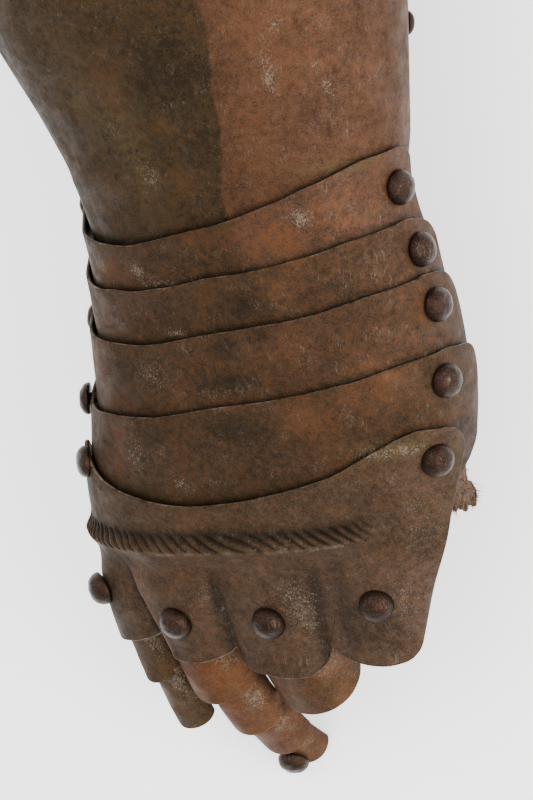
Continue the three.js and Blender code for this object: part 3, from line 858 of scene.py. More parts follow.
@dataclass(frozen=True)
class LeatherFinish:
    """Old leather: brown mottle with pale dry fibre and a fine grain."""

    name: str
    colors: tuple[int, int, int] = (0x1B110A, 0x332114, 0x5A3E20)
    scale: float = 150.0
    bump: float = 0.0004

    def build(self) -> bpy.types.Material:
        """The material, built from the shared effects.

        Returns:
            The material.
        """
        material, g, where = new_material(self.name)
        base = {"Coordinates": where, "Scale": self.scale, "Warmth": 0.52}
        mottle = MOTTLE.place(g, {**base, **mottle_colors(self.colors)})
        pits = PITS.place(g, {"Coordinates": where, "Scale": 700.0, "Depth": 0.6})
        color = g.blend(g.math("MULTIPLY", pits["Mask"], 0.5), mottle["Color"], paint(0x1B120B))
        rough = g.span(g.noise(where, 300.0, 3.0, 0.7), 0.3, 0.7, 0.75, 0.95)
        bump = g.node("Bump", {"Strength": 0.8, "Distance": self.bump, "Height": pits["Height"]})
        surface = {"Base Color": color, "Roughness": rough, "Normal": bump.outputs["Normal"]}
        shader = g.node("BsdfPrincipled", surface)
        g.node("OutputMaterial", {"Surface": shader.outputs["BSDF"]})
        return material


CUFF_IRON = IronFinish("Cuff iron", bump=0.0002, gain=0.39)
PLATE_IRON = IronFinish(
    "Plate iron", cold=(0x332617, 0x4C3620, 0x643F24), warm=(0x43301F, 0x5C4030, 0x764C2D),
)
KNUCKLE_IRON = IronFinish(
    "Knuckle iron", cold=(0x332717, 0x4D3822, 0x654428), warm=(0x463428, 0x5F4A3B, 0x7A5A44),
)
SCALE_IRON = IronFinish("Scale iron", warm=(0x56361F, 0x6E472C, 0x855330), gain=0.42)
RIVET_IRON = IronFinish(
    "Rivet iron", cold=(0x281D17, 0x3E2D24, 0x543A2C), wear_and_highlight_color=0x7D6D62, gain=0.5, metallic=0.85,
    specular=0.15, roughness=(0.26, 0.4), mottle_scale=190.0, pit_scale=1500.0,
)
LEATHER = LeatherFinish("Old leather")
FIBRE = LeatherFinish("Leather fibre", colors=(0x28180B, 0x4A3018, 0x7A5A30), scale=600.0)


# ---------------------------------------------------------------- plates


def plate_marks(y: Array, angle: Array, distance: Array, tone: Array,
                next_seam: int | None) -> dict[Mark, Array]:
    """The marks of a plate, with painted shade where the next plate's edge lies over it.

    Args:
        y: Each vertex's y in mm.
        angle: Each vertex's angle in degrees.
        distance: Each vertex's distance from the plate's rim in mm.
        tone: How far the plate is warm instead of cold there.
        next_seam: The seam whose plate lies over this one, if there is one.

    Returns:
        The marks.
    """
    marks = stain_marks(y, angle)
    marks[Mark.EDGE] = np.exp(-distance / 0.55)
    marks[Mark.TONE] = tone
    if next_seam is not None:
        gap = y - seam_edge(next_seam, angle)
        # Painted shade under the plate that lies over this one and along its edge.
        marks[Mark.DARK] = marks[Mark.DARK] + 0.6 * np.exp(-((np.maximum(gap, 0.0) / 1.2) ** 2))
        rub = np.exp(-(((gap - 5.5 - 0.8 * ripple(77, angle, y * 0, 14.0, 1.0)) / 0.35) ** 2))
        marks[Mark.PALE] = marks[Mark.PALE] + 0.35 * rub * smooth(ripple(78, angle, y, 11.0, 30.0) + 0.4)
    return marks


def tone_step(y: Array, angle: Array, left: float, right: float, width: float) -> Array:
    """Cold on the little finger's side and warm on the thumb side, either side of the cuff's soft ridge."""
    border = 9.5 + 0.22 * np.maximum(y, 0.0) + 1.2 * ripple(90, y, y * 0, 9.0, 1.0)
    return mix(left, right, smooth((angle - border) / width + 0.5))


def form_wall(name: str, y: Array, angle: Array, offset: Array, thickness: float, distance: Array,
              radius: float, marks: Mapping[Mark, Array]) -> bpy.types.Object:
    """A plate of even thickness on the body form, with both faces drawn back in a rounded rim.

    Args:
        name: The object's name.
        y: Each vertex's y in mm.
        angle: Each vertex's angle in degrees.
        offset: The outer face's offset from the form in mm, before dents.
        thickness: The wall's thickness in mm.
        distance: Each vertex's distance from the rim in mm.
        radius: The rim's rounding in mm.
        marks: One value for each vertex of a face, for each mark.

    Returns:
        The object.
    """
    signed = np.where(angle > 180.0, angle - 360.0, angle)
    dented = offset + relief(y, signed)
    drawn = rim_round(distance, radius)
    outer = FORM.point(y, angle, dented - drawn)
    return wall(name, outer, FORM.point(y, angle, dented - thickness + drawn), marks)


def rim_distance(down: Array, length: Array | float, across: Array) -> Array:
    """Distance in mm from a plate's rim: the nearer end of its length, or the nearer side."""
    return np.minimum(np.minimum(down, 1 - down) * length, across)


@dataclass
class Cuff:
    """The flared cuff: an outer plate round the arm, an inner plate on the palm's side, and their rivets."""

    mouth_y: float = 136.0
    palm_y: float = 22.0
    thumb_end: float = 128.0
    little_end: float = -106.0
    near: float = 14.0
    back: float = 26.0
    packing: float = 1.15
    rim: float = 0.55
    outer_size: tuple[float, float] = (215.0, 140.0)
    palm_size: tuple[float, float] = (190.0, 114.0)
    lift: float = 0.8
    tuck_run: float = 13.0
    turn_length: float = 5.0
    turn_height: float = 1.6
    keel_angle: float = 14.0
    keel_spread: float = 16.0
    keel_height: float = 1.4
    keel_fade: float = 20.0
    inner_thumb: float = 114.0
    inner_little: float = 278.0
    seam_angles: Mapping[str, float] = field(default_factory=lambda: {"thumb": 121.0, "little": -91.0})
    seam_rows: tuple[float, ...] = (40.0, 104.0)

    def offset(self, y: Array, angle: Array) -> Array:
        """Level with a soft ridge, turned out at the mouth and drawn in under the first lame.

        Args:
            y: Each place's y in mm.
            angle: Each place's angle in degrees.

        Returns:
            The outer face's offset in mm.
        """
        turn = smooth((y - self.mouth_y + self.turn_length) / 2.0) * self.turn_height
        keel = self.keel_height * np.exp(-(((angle - self.keel_angle) / self.keel_spread) ** 2))
        tuck = np.minimum(0.0, (y - PIVOTS[0].y - PIVOT_MARGIN) * PLATE_STEP / self.tuck_run)
        return BASE_OFFSET + self.lift + turn + keel * smooth(y / self.keel_fade) + tuck

    def outer_plate(self) -> bpy.types.Object:
        """The plate over the back of the forearm and round both sides.

        Returns:
            The object.
        """
        width, length = self.outer_size
        across, down = np.meshgrid(packed(290, width), packed(148, length))
        angle = mix(self.little_end, self.thumb_end, across)
        past_little = self.little_end + self.near - angle
        past_thumb = angle - self.thumb_end + 2.0 * self.near
        side = smooth(np.maximum(past_little, past_thumb) / self.near)
        start = mix(hidden_edge(0, angle), self.back, side)
        y = mix(start, self.mouth_y, down ** self.packing)
        distance = rim_distance(down, length, np.minimum(across, 1 - across) * width)
        marks = plate_marks(y, angle, distance, tone_step(y, angle, 0.0, 1.0, 3.4), 0)
        offset = self.offset(y, angle)
        return form_wall("cuff_outer", y, angle, offset, CUFF_WALL, distance, self.rim, marks)

    def inner_plate(self) -> bpy.types.Object:
        """The plate that closes the cuff on the palm's side.

        Returns:
            The object.
        """
        width, length = self.palm_size
        across, down = np.meshgrid(packed(150, width), packed(70, length))
        angle = mix(self.inner_thumb, self.inner_little, across)
        y = mix(self.palm_y, self.mouth_y, down)
        distance = rim_distance(down, length, np.minimum(across, 1 - across) * width)
        offset = self.offset(y, np.full_like(y, 180.0)) - CUFF_STEP
        marks = {Mark.EDGE: np.exp(-distance / 0.55), Mark.TONE: 0.35 + 0.3 * ripple(5, y, angle, 30.0, 40.0)}
        marks.update({mark: np.zeros_like(y) for mark in (Mark.WARM, Mark.PALE, Mark.DARK, Mark.POWDER)})
        return form_wall("cuff_palm", y, angle, offset, CUFF_WALL, distance, self.rim, marks)

    def build(self, iron: bpy.types.Material, rivets: "Rivets") -> None:
        """Builds the cuff's pieces and dresses them.

        Args:
            iron: The material.
            rivets: Makes the rivets.
        """
        dress(self.outer_plate(), iron, "cuff", ["cuff_plate"])
        dress(self.inner_plate(), iron, "cuff", ["cuff_inner_plate"])
        for side, angle in self.seam_angles.items():
            for n, y in enumerate(self.seam_rows):
                place = FORM.point(y, angle, self.offset(y, angle))
                direction = FORM.outward(y, angle, no_offset)
                rivets.add(f"seam_rivet_{side}_{n + 1}", rivets.seam, place, direction, "cuff")


@dataclass
class Lames:
    """The four hinged lames, and the rivet pairs that the plates turn on."""

    count: int = 4
    first_lift: float = 0.5
    thumb_cut: float = 7.0
    cut_from: float = 82.0
    cut_run: float = 14.0
    width: float = 180.0
    length: float = 26.0
    tones: tuple[tuple[float, float, float], ...] = (
        (0.1, 0.8, 10.0), (0.22, 0.5, 30.0), (0.25, 0.5, 40.0), (0.25, 0.42, 50.0),
    )

    def offset(self, lame: int, y: Array) -> Array:
        """High over the plate before it, low under the plate after it.

        Args:
            lame: The lame's number, from 1.
            y: Each place's y in mm.

        Returns:
            The outer face's offset in mm.
        """
        near, far = PIVOTS[lame - 1].y, PIVOTS[lame].y
        tuck = TUCK_SLOPE * np.maximum(0.0, far - TUCK_START - y)
        return BASE_OFFSET + PLATE_STEP * (y - far) / (near - far) - tuck

    def offset_of(self, number: int) -> Callable[[float], float]:
        """The offset by y of a lame, or no offset past the last lame."""
        return (lambda y: float(self.offset(number, y))) if number <= self.count else no_offset

    def plate(self, lame: int) -> bpy.types.Object:
        """One lame, a band across the arm with rounded ends.

        Args:
            lame: The lame's number, from 1.

        Returns:
            The object.
        """
        near, far = PIVOTS[lame - 1], PIVOTS[lame]
        across, down = np.meshgrid(packed(330, self.width), packed(34, self.length))
        first = mix(near.little_end, far.little_end, down)
        last = mix(near.thumb_end, far.thumb_end, down)
        angle = mix(first, last, across)
        cut = corner_cut(np.minimum(angle - first, last - angle))
        start = seam_edge(lame - 1, angle) - cut
        end = hidden_edge(lame, angle) + cut
        if lame == self.count:
            end = end + self.thumb_cut * smooth((angle - self.cut_from) / self.cut_run)
        y = mix(start, end, down)
        distance = rim_distance(down, start - end, np.minimum(angle - first, last - angle) * ARC)
        marks = plate_marks(y, angle, distance, tone_step(y, angle, *self.tones[lame - 1]), lame)
        offset = self.offset(lame, y)
        return form_wall(f"lame_plate_{lame}", y, angle, offset, PLATE_WALL, distance, RIM, marks)

    def build(self, iron: bpy.types.Material, rivets: "Rivets") -> None:
        """Builds the lames and the pivot rivets and dresses them.

        Args:
            iron: The material.
            rivets: Makes the rivets.
        """
        for lame in range(1, self.count + 1):
            dress(self.plate(lame), iron, f"lame_{lame}", [f"lame_{lame}"])
        for n, pivot in enumerate(PIVOTS):
            body = f"lame_{n + 1}" if n < self.count else "knuckles"
            for side, angle, y in (("thumb", pivot.thumb, pivot.y), ("little", pivot.little, pivot.little_y)):
                place = FORM.point(y, angle, BASE_OFFSET + PLATE_STEP + (self.first_lift if n == 0 else 0.0))
                direction = FORM.outward(y, angle, self.offset_of(n + 1))
                head = rivets.far_pivot if side == "little" else rivets.pivot
                rivets.add(f"pivot_rivet_{side}_{n + 1}", head, place, direction, body)


@dataclass(frozen=True)
class Lobe:
    """One finger's lobe of the knuckle plate, and its rivet."""

    finger: str
    start: float
    end: float
    tip: float
    bow: float
    rivet_y: float
    rivet_angle: float


@dataclass
class KnucklePlate:
    """The plate over the knuckles: a roped ridge across it and four finger lobes with creases."""

    lobes: tuple[Lobe, ...] = (
        Lobe("little", -74, -32, -134, 6, -117, -60),
        Lobe("ring", -32, -5.5, -139, 7, -125.5, -20),
        Lobe("middle", -5.5, 16.5, -143, 7, -125, 3),
        Lobe("index", 16.5, 54, -140, 9, -120.5, 35),
    )
    valleys: tuple[tuple[float, float, float, float], ...] = ((-106, -41, -7, 17.5), (-130, -32, -5.5, 16.5))
    little_far: float = -74.0
    thumb_far: float = 54.0
    swell_start: float = -100.0
    swell_full: float = -122.0
    plain_swell: tuple[float, float, float] = (2.6, 0.5, 0.7)
    fine_swell: tuple[float, float, float] = (3.5, 0.8, 0.75)
    taper: float = 18.0
    little_spare: float = 6.0
    thumb_spare: float = 5.0
    rivet_spare: tuple[float, float] = (8.0, 14.0)
    roundness: float = 0.97
    width: float = 120.0
    length: float = 60.0
    notch: float = 1.2
    gather: float = 0.35
    even_end: float = -134.0
    even_share: float = 0.5
    rope_y: float = -102.5
    rope_dip: float = 3.5
    rope_height: float = 2.3
    rope_half: float = 4.2
    rope_valley: float = 0.9
    rope_from: float = -78.0
    rope_to: float = 42.0
    twist_pitch: float = 3.4
    twist_slant: float = 1.25
    twist_depth: float = 1.2

    def valley(self, n: int, y: Array) -> Array:
        """The angle of valley n at each y, on a straight line through the two rows."""
        (near_y, *near), (far_y, *far) = self.valleys
        return mix(near[n], far[n], (y - near_y) / (far_y - near_y))

    def swell(self, y: Array, angle: Array, little: Array, thumb: Array, power: float) -> Array:
        """An arch over each lobe: 0 in a valley and 1 along a lobe's middle, half an ellipse at power 0.5.

        Between two borders it is one minus the square of the place from -1 to 1, raised to the power.

        Args:
            y: Each place's y in mm.
            angle: Each place's angle in degrees.
            little: The angle of the plate's end on the little finger's side.
            thumb: The angle of its end on the thumb side.
            power: Squareness of the arch: 0.5 is half an ellipse, and more is softer.

        Returns:
            The height's share, 0 to 1.
        """
        borders = [little, self.valley(0, y), self.valley(1, y), self.valley(2, y), thumb]
        total = np.zeros(np.broadcast(y, angle).shape)
        for low, high in zip(borders, borders[1:]):
            t = np.clip((angle - low) / (high - low), 0.0, 1.0)
            total = np.maximum(total, np.maximum(0.0, 1.0 - (2.0 * t - 1.0) ** 2) ** power)
        return total

    def rope_middle(self, angle: Array) -> Array:
        """The y of the roped ridge's crest."""
        return self.rope_y + self.rope_dip * ((angle + 12.0) / 50.0) ** 2

    def rope_ends(self, angle: Array) -> Array:
        """1 along the roped ridge, fading to 0 at both of its ends."""
        return smooth((angle - self.rope_from) / 10.0) * smooth((self.rope_to - angle) / 14.0)

    def rope(self, y: Array, angle: Array, cut: bool) -> Array:
        """The ridge and the shallow valley on its finger side, with slanting cuts across the ridge.

        A bell across the ridge, less a smaller bell on its finger side, less the cuts.

        Args:
            y: Each place's y in mm.
            angle: Each place's angle in degrees.
            cut: Whether the strands' cuts are sunk.

        Returns:
            The height in mm.
        """
        t = (y - self.rope_middle(angle)) / self.rope_half
        ends = self.rope_ends(angle)
        height = self.rope_height * np.exp(-(t ** 2) * 2.0) - self.rope_valley * np.exp(-((t + 2.0) ** 2))
        if cut:
            height = height - self.twist_depth * self.twist(y, angle)
        return ends * height

    def twist(self, y: Array, angle: Array) -> Array:
        """The cuts between the rope's strands: slanting grooves on the ridge's arm side, worn in places.

        A bell of the sine of the run along the ridge, which leans with the distance across it.

        Args:
            y: Each place's y in mm.
            angle: Each place's angle in degrees.

        Returns:
            The depth's share, 0 to 1.
        """
        t = (y - self.rope_middle(angle)) / self.rope_half
        run = angle * ARC + self.twist_slant * (y - self.rope_middle(angle))
        run = run + 0.5 * ripple(61, angle, y * 0.0, 6.0, 1.0)
        groove = np.exp(-((np.sin(np.pi * run / self.twist_pitch) / 0.45) ** 2))
        window = smooth((t + 0.35) / 0.4) * smooth((1.3 - t) / 0.5)
        return groove * window * (0.7 + 0.3 * ripple(62, angle, y * 0.0, 13.0, 1.0))

    def offset(self, y: Array, angle: Array, little: Array, thumb: Array, fine: bool) -> Array:
        """Drawn in past the last rivets, swelling over the lobes, with the roped ridge.

        Args:
            y: Each place's y in mm.
            angle: Each place's angle in degrees.
            little: The angle of the plate's end on the little finger's side.
            thumb: The angle of its end on the thumb side.
            fine: Whether it has the strands, the creases and the softer valleys.

        Returns:
            The outer face's offset in mm.
        """
        near, far = PIVOTS[3].y, PIVOTS[4].y
        base = BASE_OFFSET + PLATE_STEP + PLATE_STEP * np.maximum(y - far, -self.taper) / (near - far)
        grow = smooth((y - self.swell_start) / (self.swell_full - self.swell_start))
        height, power, level = self.fine_swell if fine else self.plain_swell
        lobes = height * grow * (self.swell(y, angle, little, thumb, power) - level)
        return base + lobes + self.rope(y, angle, fine) + (self.crease(y, angle) if fine else 0.0)

    def crease(self, y: Array, angle: Array) -> Array:
        """The ring lobe's proud edge along the first valley, beside a sunk strip.

        One bell outwards and one inwards, side by side.

        Args:
            y: Each place's y in mm.
            angle: Each place's angle in degrees.

        Returns:
            The height in mm.
        """
        from_valley = angle - self.valley(0, y)
        along = smooth((-103.0 - y) / 9.0)
        proud = 0.75 * np.exp(-(((from_valley - 2.6) / 2.4) ** 2))
        sunk = 0.35 * np.exp(-(((from_valley + 2.8) / 2.6) ** 2))
        return along * (proud - sunk)

    def lobe_edge(self, angle: Array) -> Array:
        """The y of the lobes' rounded finger-side edge: part of a circle for each lobe.

        Each lobe's tip plus its bow times one minus the circle's height, blended over the notches.

        Args:
            angle: Each place's angle in degrees.

        Returns:
            The edge's y in mm.
        """
        edge = np.zeros_like(angle)
        for n, lobe in enumerate(self.lobes):
            inside = smooth((angle - lobe.start) / self.notch + 0.5) if n else 1.0
            t = np.clip(2.0 * (angle - lobe.start) / (lobe.end - lobe.start) - 1.0, -1.0, 1.0)
            arc = lobe.tip + lobe.bow * (1.0 - np.sqrt(np.maximum(0.0, 1.0 - t * t * self.roundness)))
            edge = mix(edge, arc, inside)
        return edge

    def plate(self) -> bpy.types.Object:
        """The whole plate, from the edge over the last lame to the lobes' rounded ends.

        Returns:
            The object.
        """
        u = packed(362, self.width)
        t = packed(122, self.length)
        t = t + self.gather * np.sin(2.0 * np.pi * t) / (2.0 * np.pi)
        across, down = np.meshgrid(u, t)
        pivot = PIVOTS[4]
        little = mix(pivot.little - END_MARGIN - self.little_spare, self.little_far, smooth(down))
        thumb = mix(pivot.thumb + END_MARGIN + self.thumb_spare, self.thumb_far, down)
        angle = mix(little, thumb, across)
        far_angle = mix(self.little_far, self.thumb_far, across)
        to_end = np.minimum(angle - little, thumb - angle)
        start = seam_edge(4, angle) - corner_cut(to_end)
        end = self.lobe_edge(far_angle) + 0.2 * ripple(63, far_angle, far_angle * 0.0, 5.0, 1.0)
        settle = smooth((down - self.even_share) / (1.0 - self.even_share))
        y = mix(start, self.even_end, down) + (end - self.even_end) * settle
        distance = np.minimum(np.minimum(y - end, start - y), to_end * ARC)
        offset = self.offset(y, angle, little, thumb, True)
        tone = mix(0.34, 0.45, smooth((angle + 20.0) / 60.0)) + 0.12 * smooth((-104.0 - y) / 6.0)
        marks = plate_marks(y, angle, distance, tone, None)
        t_rope = (y - self.rope_middle(angle)) / self.rope_half
        ends = self.rope_ends(angle)
        # Painted shade on the roped ridge's arm-side flank and in the cuts between its strands.
        shade = 0.8 * np.exp(-(((t_rope - 1.0) / 0.5) ** 2)) + 1.7 * self.twist(y, angle)
        marks[Mark.DARK] = marks[Mark.DARK] + ends * shade
        # Painted highlight: a pale band just on the finger side of the ridge's crest, carried by the edge
        # mark.
        crest = 0.72 * ends * np.exp(-(((t_rope + 0.25) / 0.45) ** 2))
        marks[Mark.EDGE] = np.maximum(marks[Mark.EDGE], crest)
        # A warmer, lighter strip along the ring lobe's proud edge: orange rust there, and a painted highlight
        # on the raised edge.
        ridge = np.exp(-(((angle - self.valley(0, y) - 3.0) / 1.6) ** 2)) * smooth((-105.0 - y) / 6.0)
        marks[Mark.WARM] = marks[Mark.WARM] + 0.9 * ridge
        # Painted shade in the valleys between the lobes, a little towards the little finger's side.
        for n in range(3):
            groove = np.exp(-(((angle - self.valley(n, y) + 1.0) / 1.8) ** 2)) * smooth((-106.0 - y) / 8.0)
            marks[Mark.DARK] = marks[Mark.DARK] + 0.9 * groove
        return form_wall("knuckle_plate_fine", y, angle, offset, PLATE_WALL, distance, RIM, marks)

    def point(self, y: float, angle: float, depth: float) -> Array:
        """A point under the plain plate's outer face, found by its y and angle.

        Args:
            y: The y in mm.
            angle: The angle in degrees.
            depth: How far under the outer face, in mm.

        Returns:
            The point in mm.
        """
        little = self.little_far - self.rivet_spare[0]
        thumb = self.thumb_far + self.rivet_spare[1]
        offset = self.offset(np.float64(y), np.float64(angle), little, thumb, False)
        return FORM.point(y, angle, offset - depth)

    def build(self, iron: bpy.types.Material, rivets: "Rivets") -> None:
        """Builds the plate and its four rivets and dresses them.

        Args:
            iron: The material.
            rivets: Makes the rivets.
        """
        dress(self.plate(), iron, "knuckles", ["knuckle_plate"])
        for lobe in self.lobes:
            place = self.point(lobe.rivet_y, lobe.rivet_angle, 0.0)
            direction = FORM.outward(lobe.rivet_y, lobe.rivet_angle, no_offset)
            rivets.add(f"knuckle_rivet_{lobe.finger}", rivets.lobe, place, direction, "knuckles")


# ---------------------------------------------------------------- rivets


@dataclass(frozen=True)
class Head:
    """A rivet's sizes: the dome's radius and height, how far it stands off, and how deep the burr closes."""

    radius: float
    height: float
    gap: float
    depth: float


@dataclass
class Rivets:
    """Domed rivets with a shank and a burr."""

    iron: bpy.types.Material
    pivot: Head = Head(4.9, 4.3, 0.1, PLATE_STEP + PLATE_WALL + 1.0)
    seam: Head = Head(3.4, 2.4, 0.3, CUFF_STEP + CUFF_WALL + 0.65)
    far_pivot: Head = Head(4.7, 3.2, 0.0, PLATE_STEP + PLATE_WALL + 1.0)
    lobe: Head = Head(5.05, 4.7, 0.0, PLATE_WALL + 1.6 + LEATHER_WALL + 0.65)
    tip: Head = Head(4.8, 4.2, 0.3, PLATE_WALL + 1.3)
    shank: float = 1.8
    burr: tuple[float, float] = (2.8, 0.9)
    sides: int = 40
    bumps: float = 0.1
    first_seed: int = 200
    made: int = 0

    def profile(self, head: Head) -> Array:
        """Burr, shank and a dome that is a little fuller than an ellipse, with a rounded foot.

        Args:
            head: The rivet's sizes.

        Returns:
            Rows of radius and height in mm, from the burr to the dome.
        """
        radius, height = self.burr
        theta = np.radians(np.linspace(0.0, 86.0, 15))
        rise = head.gap + 0.5 + (head.height - 0.5) * np.sin(theta)
        dome = np.stack((head.radius * np.cos(theta) ** 0.92, rise), axis=-1)
        rows = [
            (0.0, -head.depth - height), (radius * 0.7, -head.depth - height),
            (radius, -head.depth - height * 0.6), (radius, -head.depth),
            (self.shank, -head.depth), (self.shank, head.gap),
            (head.radius * 0.9, head.gap), (head.radius * 0.99, head.gap + 0.2),
        ]
        return np.concatenate((rows, dome, [(0.0, head.gap + head.height)]))

    def add(self, name: str, head: Head, place: Array, direction: Array, body: str) -> None:
        """Builds one rivet along a direction and dresses it.

        Args:
            name: The CAD node's name.
            head: The rivet's sizes.
            place: Its seat on the plate, in mm.
            direction: The dome's direction.
            body: The body that carries it.
        """
        self.made += 1
        marks = {Mark.TONE: 0.12, Mark.WARM: 0.1, Mark.PALE: 0.2, Mark.DARK: 0.2}
        marks.update({Mark.POWDER: 0.0, Mark.INSIDE: 0.0})
        turn = turn_to(direction)
        seed = self.first_seed + self.made
        piece = lathe(f"{name}_fine", self.profile(head), place, turn, self.sides, self.bumps, marks, seed)
        dress(piece, self.iron, body, [name])


# ---------------------------------------------------------------- fingers


@dataclass(frozen=True)
class Scale:
    """One finger scale: width, length and pitch, and how much wider, shorter or further aside it is drawn."""

    width: float
    length: float
    pitch: float
    wider: float = 0.0
    shorter: float = 0.0
    aside: float = 0.0


@dataclass(frozen=True)
class Finger:
    """A finger's chain of scales: where it starts under its lobe, and how it is turned."""

    name: str
    angle: float
    back: float
    roll: float
    yaw: float
    tone: float
    scales: tuple[Scale, ...]


@dataclass
class Step:
    """A place along a finger: its origin, its rotation and the strap's half width there."""

    place: Array
    turn: Array
    half: float

    def under(self, forward: float, depth: float, half: float) -> "Step":
        """The place that lies forward along the finger and below it."""
        return Step(self.place + self.turn @ np.array((0.0, -forward, -depth)), self.turn, half)


@dataclass
class Fingers:
    """Overlapping half-tube scales on leather straps, stepping down the curled fingers."""

    knuckles: KnucklePlate
    fingers: tuple[Finger, ...] = (
        Finger("little", -56, 9, -34, 4, 0.35, (Scale(20, 25, 18), Scale(16.5, 24, 25, 3.5, 0.0, 1.6))),
        Finger("ring", -19, 5, -6, 8, 0.8, (
            Scale(24, 23, 20, 3.0, 1.5, -1.8), Scale(20.5, 20, 32, 1.0, 0.0, 0.5),
            Scale(18, 20, 42, 2.5, 0.0, 1.6), Scale(15.5, 18, 51, 2.4, 0.0, 1.6),
        )),
        Finger("middle", 4, 9, 3, 3, 0.5, (Scale(27, 30, 34, 3.5, 0.0, -2.4),)),
    )
    overlap: float = 5.0
    bow: float = 0.8
    arc: float = 78.0
    round_share: float = 0.38
    clearance: float = 0.4
    loose_gap: float = 0.65
    strap_share: float = 0.2
    strap_half: float = 4.5
    strap_reach: float = 5.0
    lobe_gap: float = 1.6
    tip_back: float = 5.0

    @staticmethod
    def turn(pitch: float, roll: float, yaw: float) -> Array:
        """Roll about Y, then pitch about X, then yaw about Z.

        Args:
            pitch: Degrees about X.
            roll: Degrees about Y.
            yaw: Degrees about Z.

        Returns:
            The rotation as a 3 by 3 array.
        """
        turns = ((yaw, "Z"), (pitch, "X"), (roll, "Y"))
        parts = [Matrix.Rotation(np.radians(value), 3, axis) for value, axis in turns]
        return np.array(parts[0] @ parts[1] @ parts[2])

    def scale(self, name: str, scale: Scale, step: Step, tone: float, seed: int) -> bpy.types.Object:
        """A half tube along -Y with a rounded end and a slightly bowed back.

        Round the tube by angle and along it by reach, which shortens towards the sides as a circle does.

        Args:
            name: The piece's name.
            scale: Its sizes.
            step: Its place.
            tone: How warm its finish is.
            seed: Seed of the random values.

        Returns:
            The object.
        """
        length, radius = scale.length - scale.shorter, (scale.width + scale.wider) / 2.0
        u = packed(64, 2.0 * np.radians(self.arc) * radius)
        t = packed(44, length)
        across, down = np.meshgrid(u, t)
        angle = np.radians(mix(-self.arc, self.arc, across))
        sides = np.abs(2.0 * across - 1.0)
        reach = length - self.round_share * scale.width * (1.0 - np.sqrt(1.0 - 0.98 * sides ** 2))
        run = np.minimum(across, 1 - across) * 2.0 * np.radians(self.arc) * radius
        distance = np.minimum(np.minimum(down, 1 - down) * reach, run)
        dents = 0.16 * ripple(seed, down * length, angle * radius + 60.0, 6.0, 6.0)
        dents = dents + 0.04 * ripple(seed + 1, down * length, angle * radius + 60.0, 2.0, 2.0)

        def face(depth: float, draw: Array) -> Array:
            """The points of one face, at a depth into the wall.

            Args:
                depth: How deep into the wall, in mm.
                draw: How far the rim is drawn, in mm.

            Returns:
                The points in mm.
            """
            r = radius - depth + dents + draw
            z = r * np.cos(angle) - radius - self.bow * down ** 2
            local = np.stack((r * np.sin(angle) + scale.aside, -down * reach, z), axis=-1)
            return local @ step.turn.T + step.place

        drawn = rim_round(distance)
        marks = {Mark.EDGE: np.exp(-distance / 0.5), Mark.TONE: np.full_like(down, tone)}
        marks[Mark.WARM] = 0.3 + 0.5 * ripple(seed + 2, down * length, angle * radius + 60, 7.0, 7.0)
        # Paler and dustier along each scale's flank towards the thumb, most near its root.
        thumb_flank = smooth((angle - 0.1) / 0.5) * smooth((1.2 - angle) / 0.4)
        marks[Mark.PALE] = 0.25 + 0.7 * thumb_flank * smooth(1.4 - 1.6 * down)
        # Painted shade at the scale's root, under the lobe or the scale before it, and down both flanks.
        marks[Mark.DARK] = 0.5 * smooth((0.35 - down) / 0.3) + 0.5 * smooth((np.abs(angle) - 0.8) / 0.5)
        marks[Mark.POWDER] = 0.3 * thumb_flank
        return wall(name, face(0.0, -drawn), face(PLATE_WALL, drawn), marks)

    def strap(self, name: str, steps: Sequence[Step]) -> bpy.types.Object:
        """A leather slab whose top face runs smoothly through the steps.

        Place, side and up run through the steps by the smooth curve, and the width by straight lines.

        Args:
            name: The piece's name.
            steps: The places that its top face runs through.

        Returns:
            The object.
        """
        keys = np.arange(len(steps), dtype=float)
        t = np.linspace(0.0, keys[-1], 12 * len(steps))
        place = np.stack([curve(keys, [s.place[n] for s in steps], t) for n in range(3)], axis=-1)
        side = np.stack([curve(keys, [s.turn[n, 0] for s in steps], t) for n in range(3)], axis=-1)
        up = np.stack([curve(keys, [s.turn[n, 2] for s in steps], t) for n in range(3)], axis=-1)
        half = np.interp(t, keys, [s.half for s in steps])
        across = packed(12, 2.0 * half.mean(), (0.0, 0.15, 0.4, 0.8)) * 2.0 - 1.0
        distance = np.broadcast_to((1.0 - np.abs(across)) * half.mean(), (len(t), len(across)))
        drawn = rim_round(distance, 0.6)[..., None] * up[:, None, :]
        top = place[:, None, :] + (half[:, None] * across)[..., None] * side[:, None, :]
        return wall(name, top - drawn, top - LEATHER_WALL * up[:, None, :] + drawn, {})

    def chain(self, finger: Finger) -> list[tuple[str, Scale, Step]]:
        """Each scale of a finger with its name and its place.

        Args:
            finger: The finger.

        Returns:
            The scales from the knuckle to the tip.
        """
        lobe = next(lobe for lobe in self.knuckles.lobes if lobe.finger == finger.name)
        place = self.knuckles.point(lobe.tip + finger.back, finger.angle, PLATE_STEP + self.clearance)
        found = []
        for n, scale in enumerate(finger.scales):
            turn = self.turn(scale.pitch, finger.roll, finger.yaw)
            step = Step(place, turn, self.strap_share * scale.width)
            found.append((f"scale_{finger.name}_{n + 1}", scale, step))
            forward = scale.length - self.overlap
            place = step.under(forward, self.bow * (forward / scale.length) ** 2 + PLATE_STEP, 0.0).place
        return found

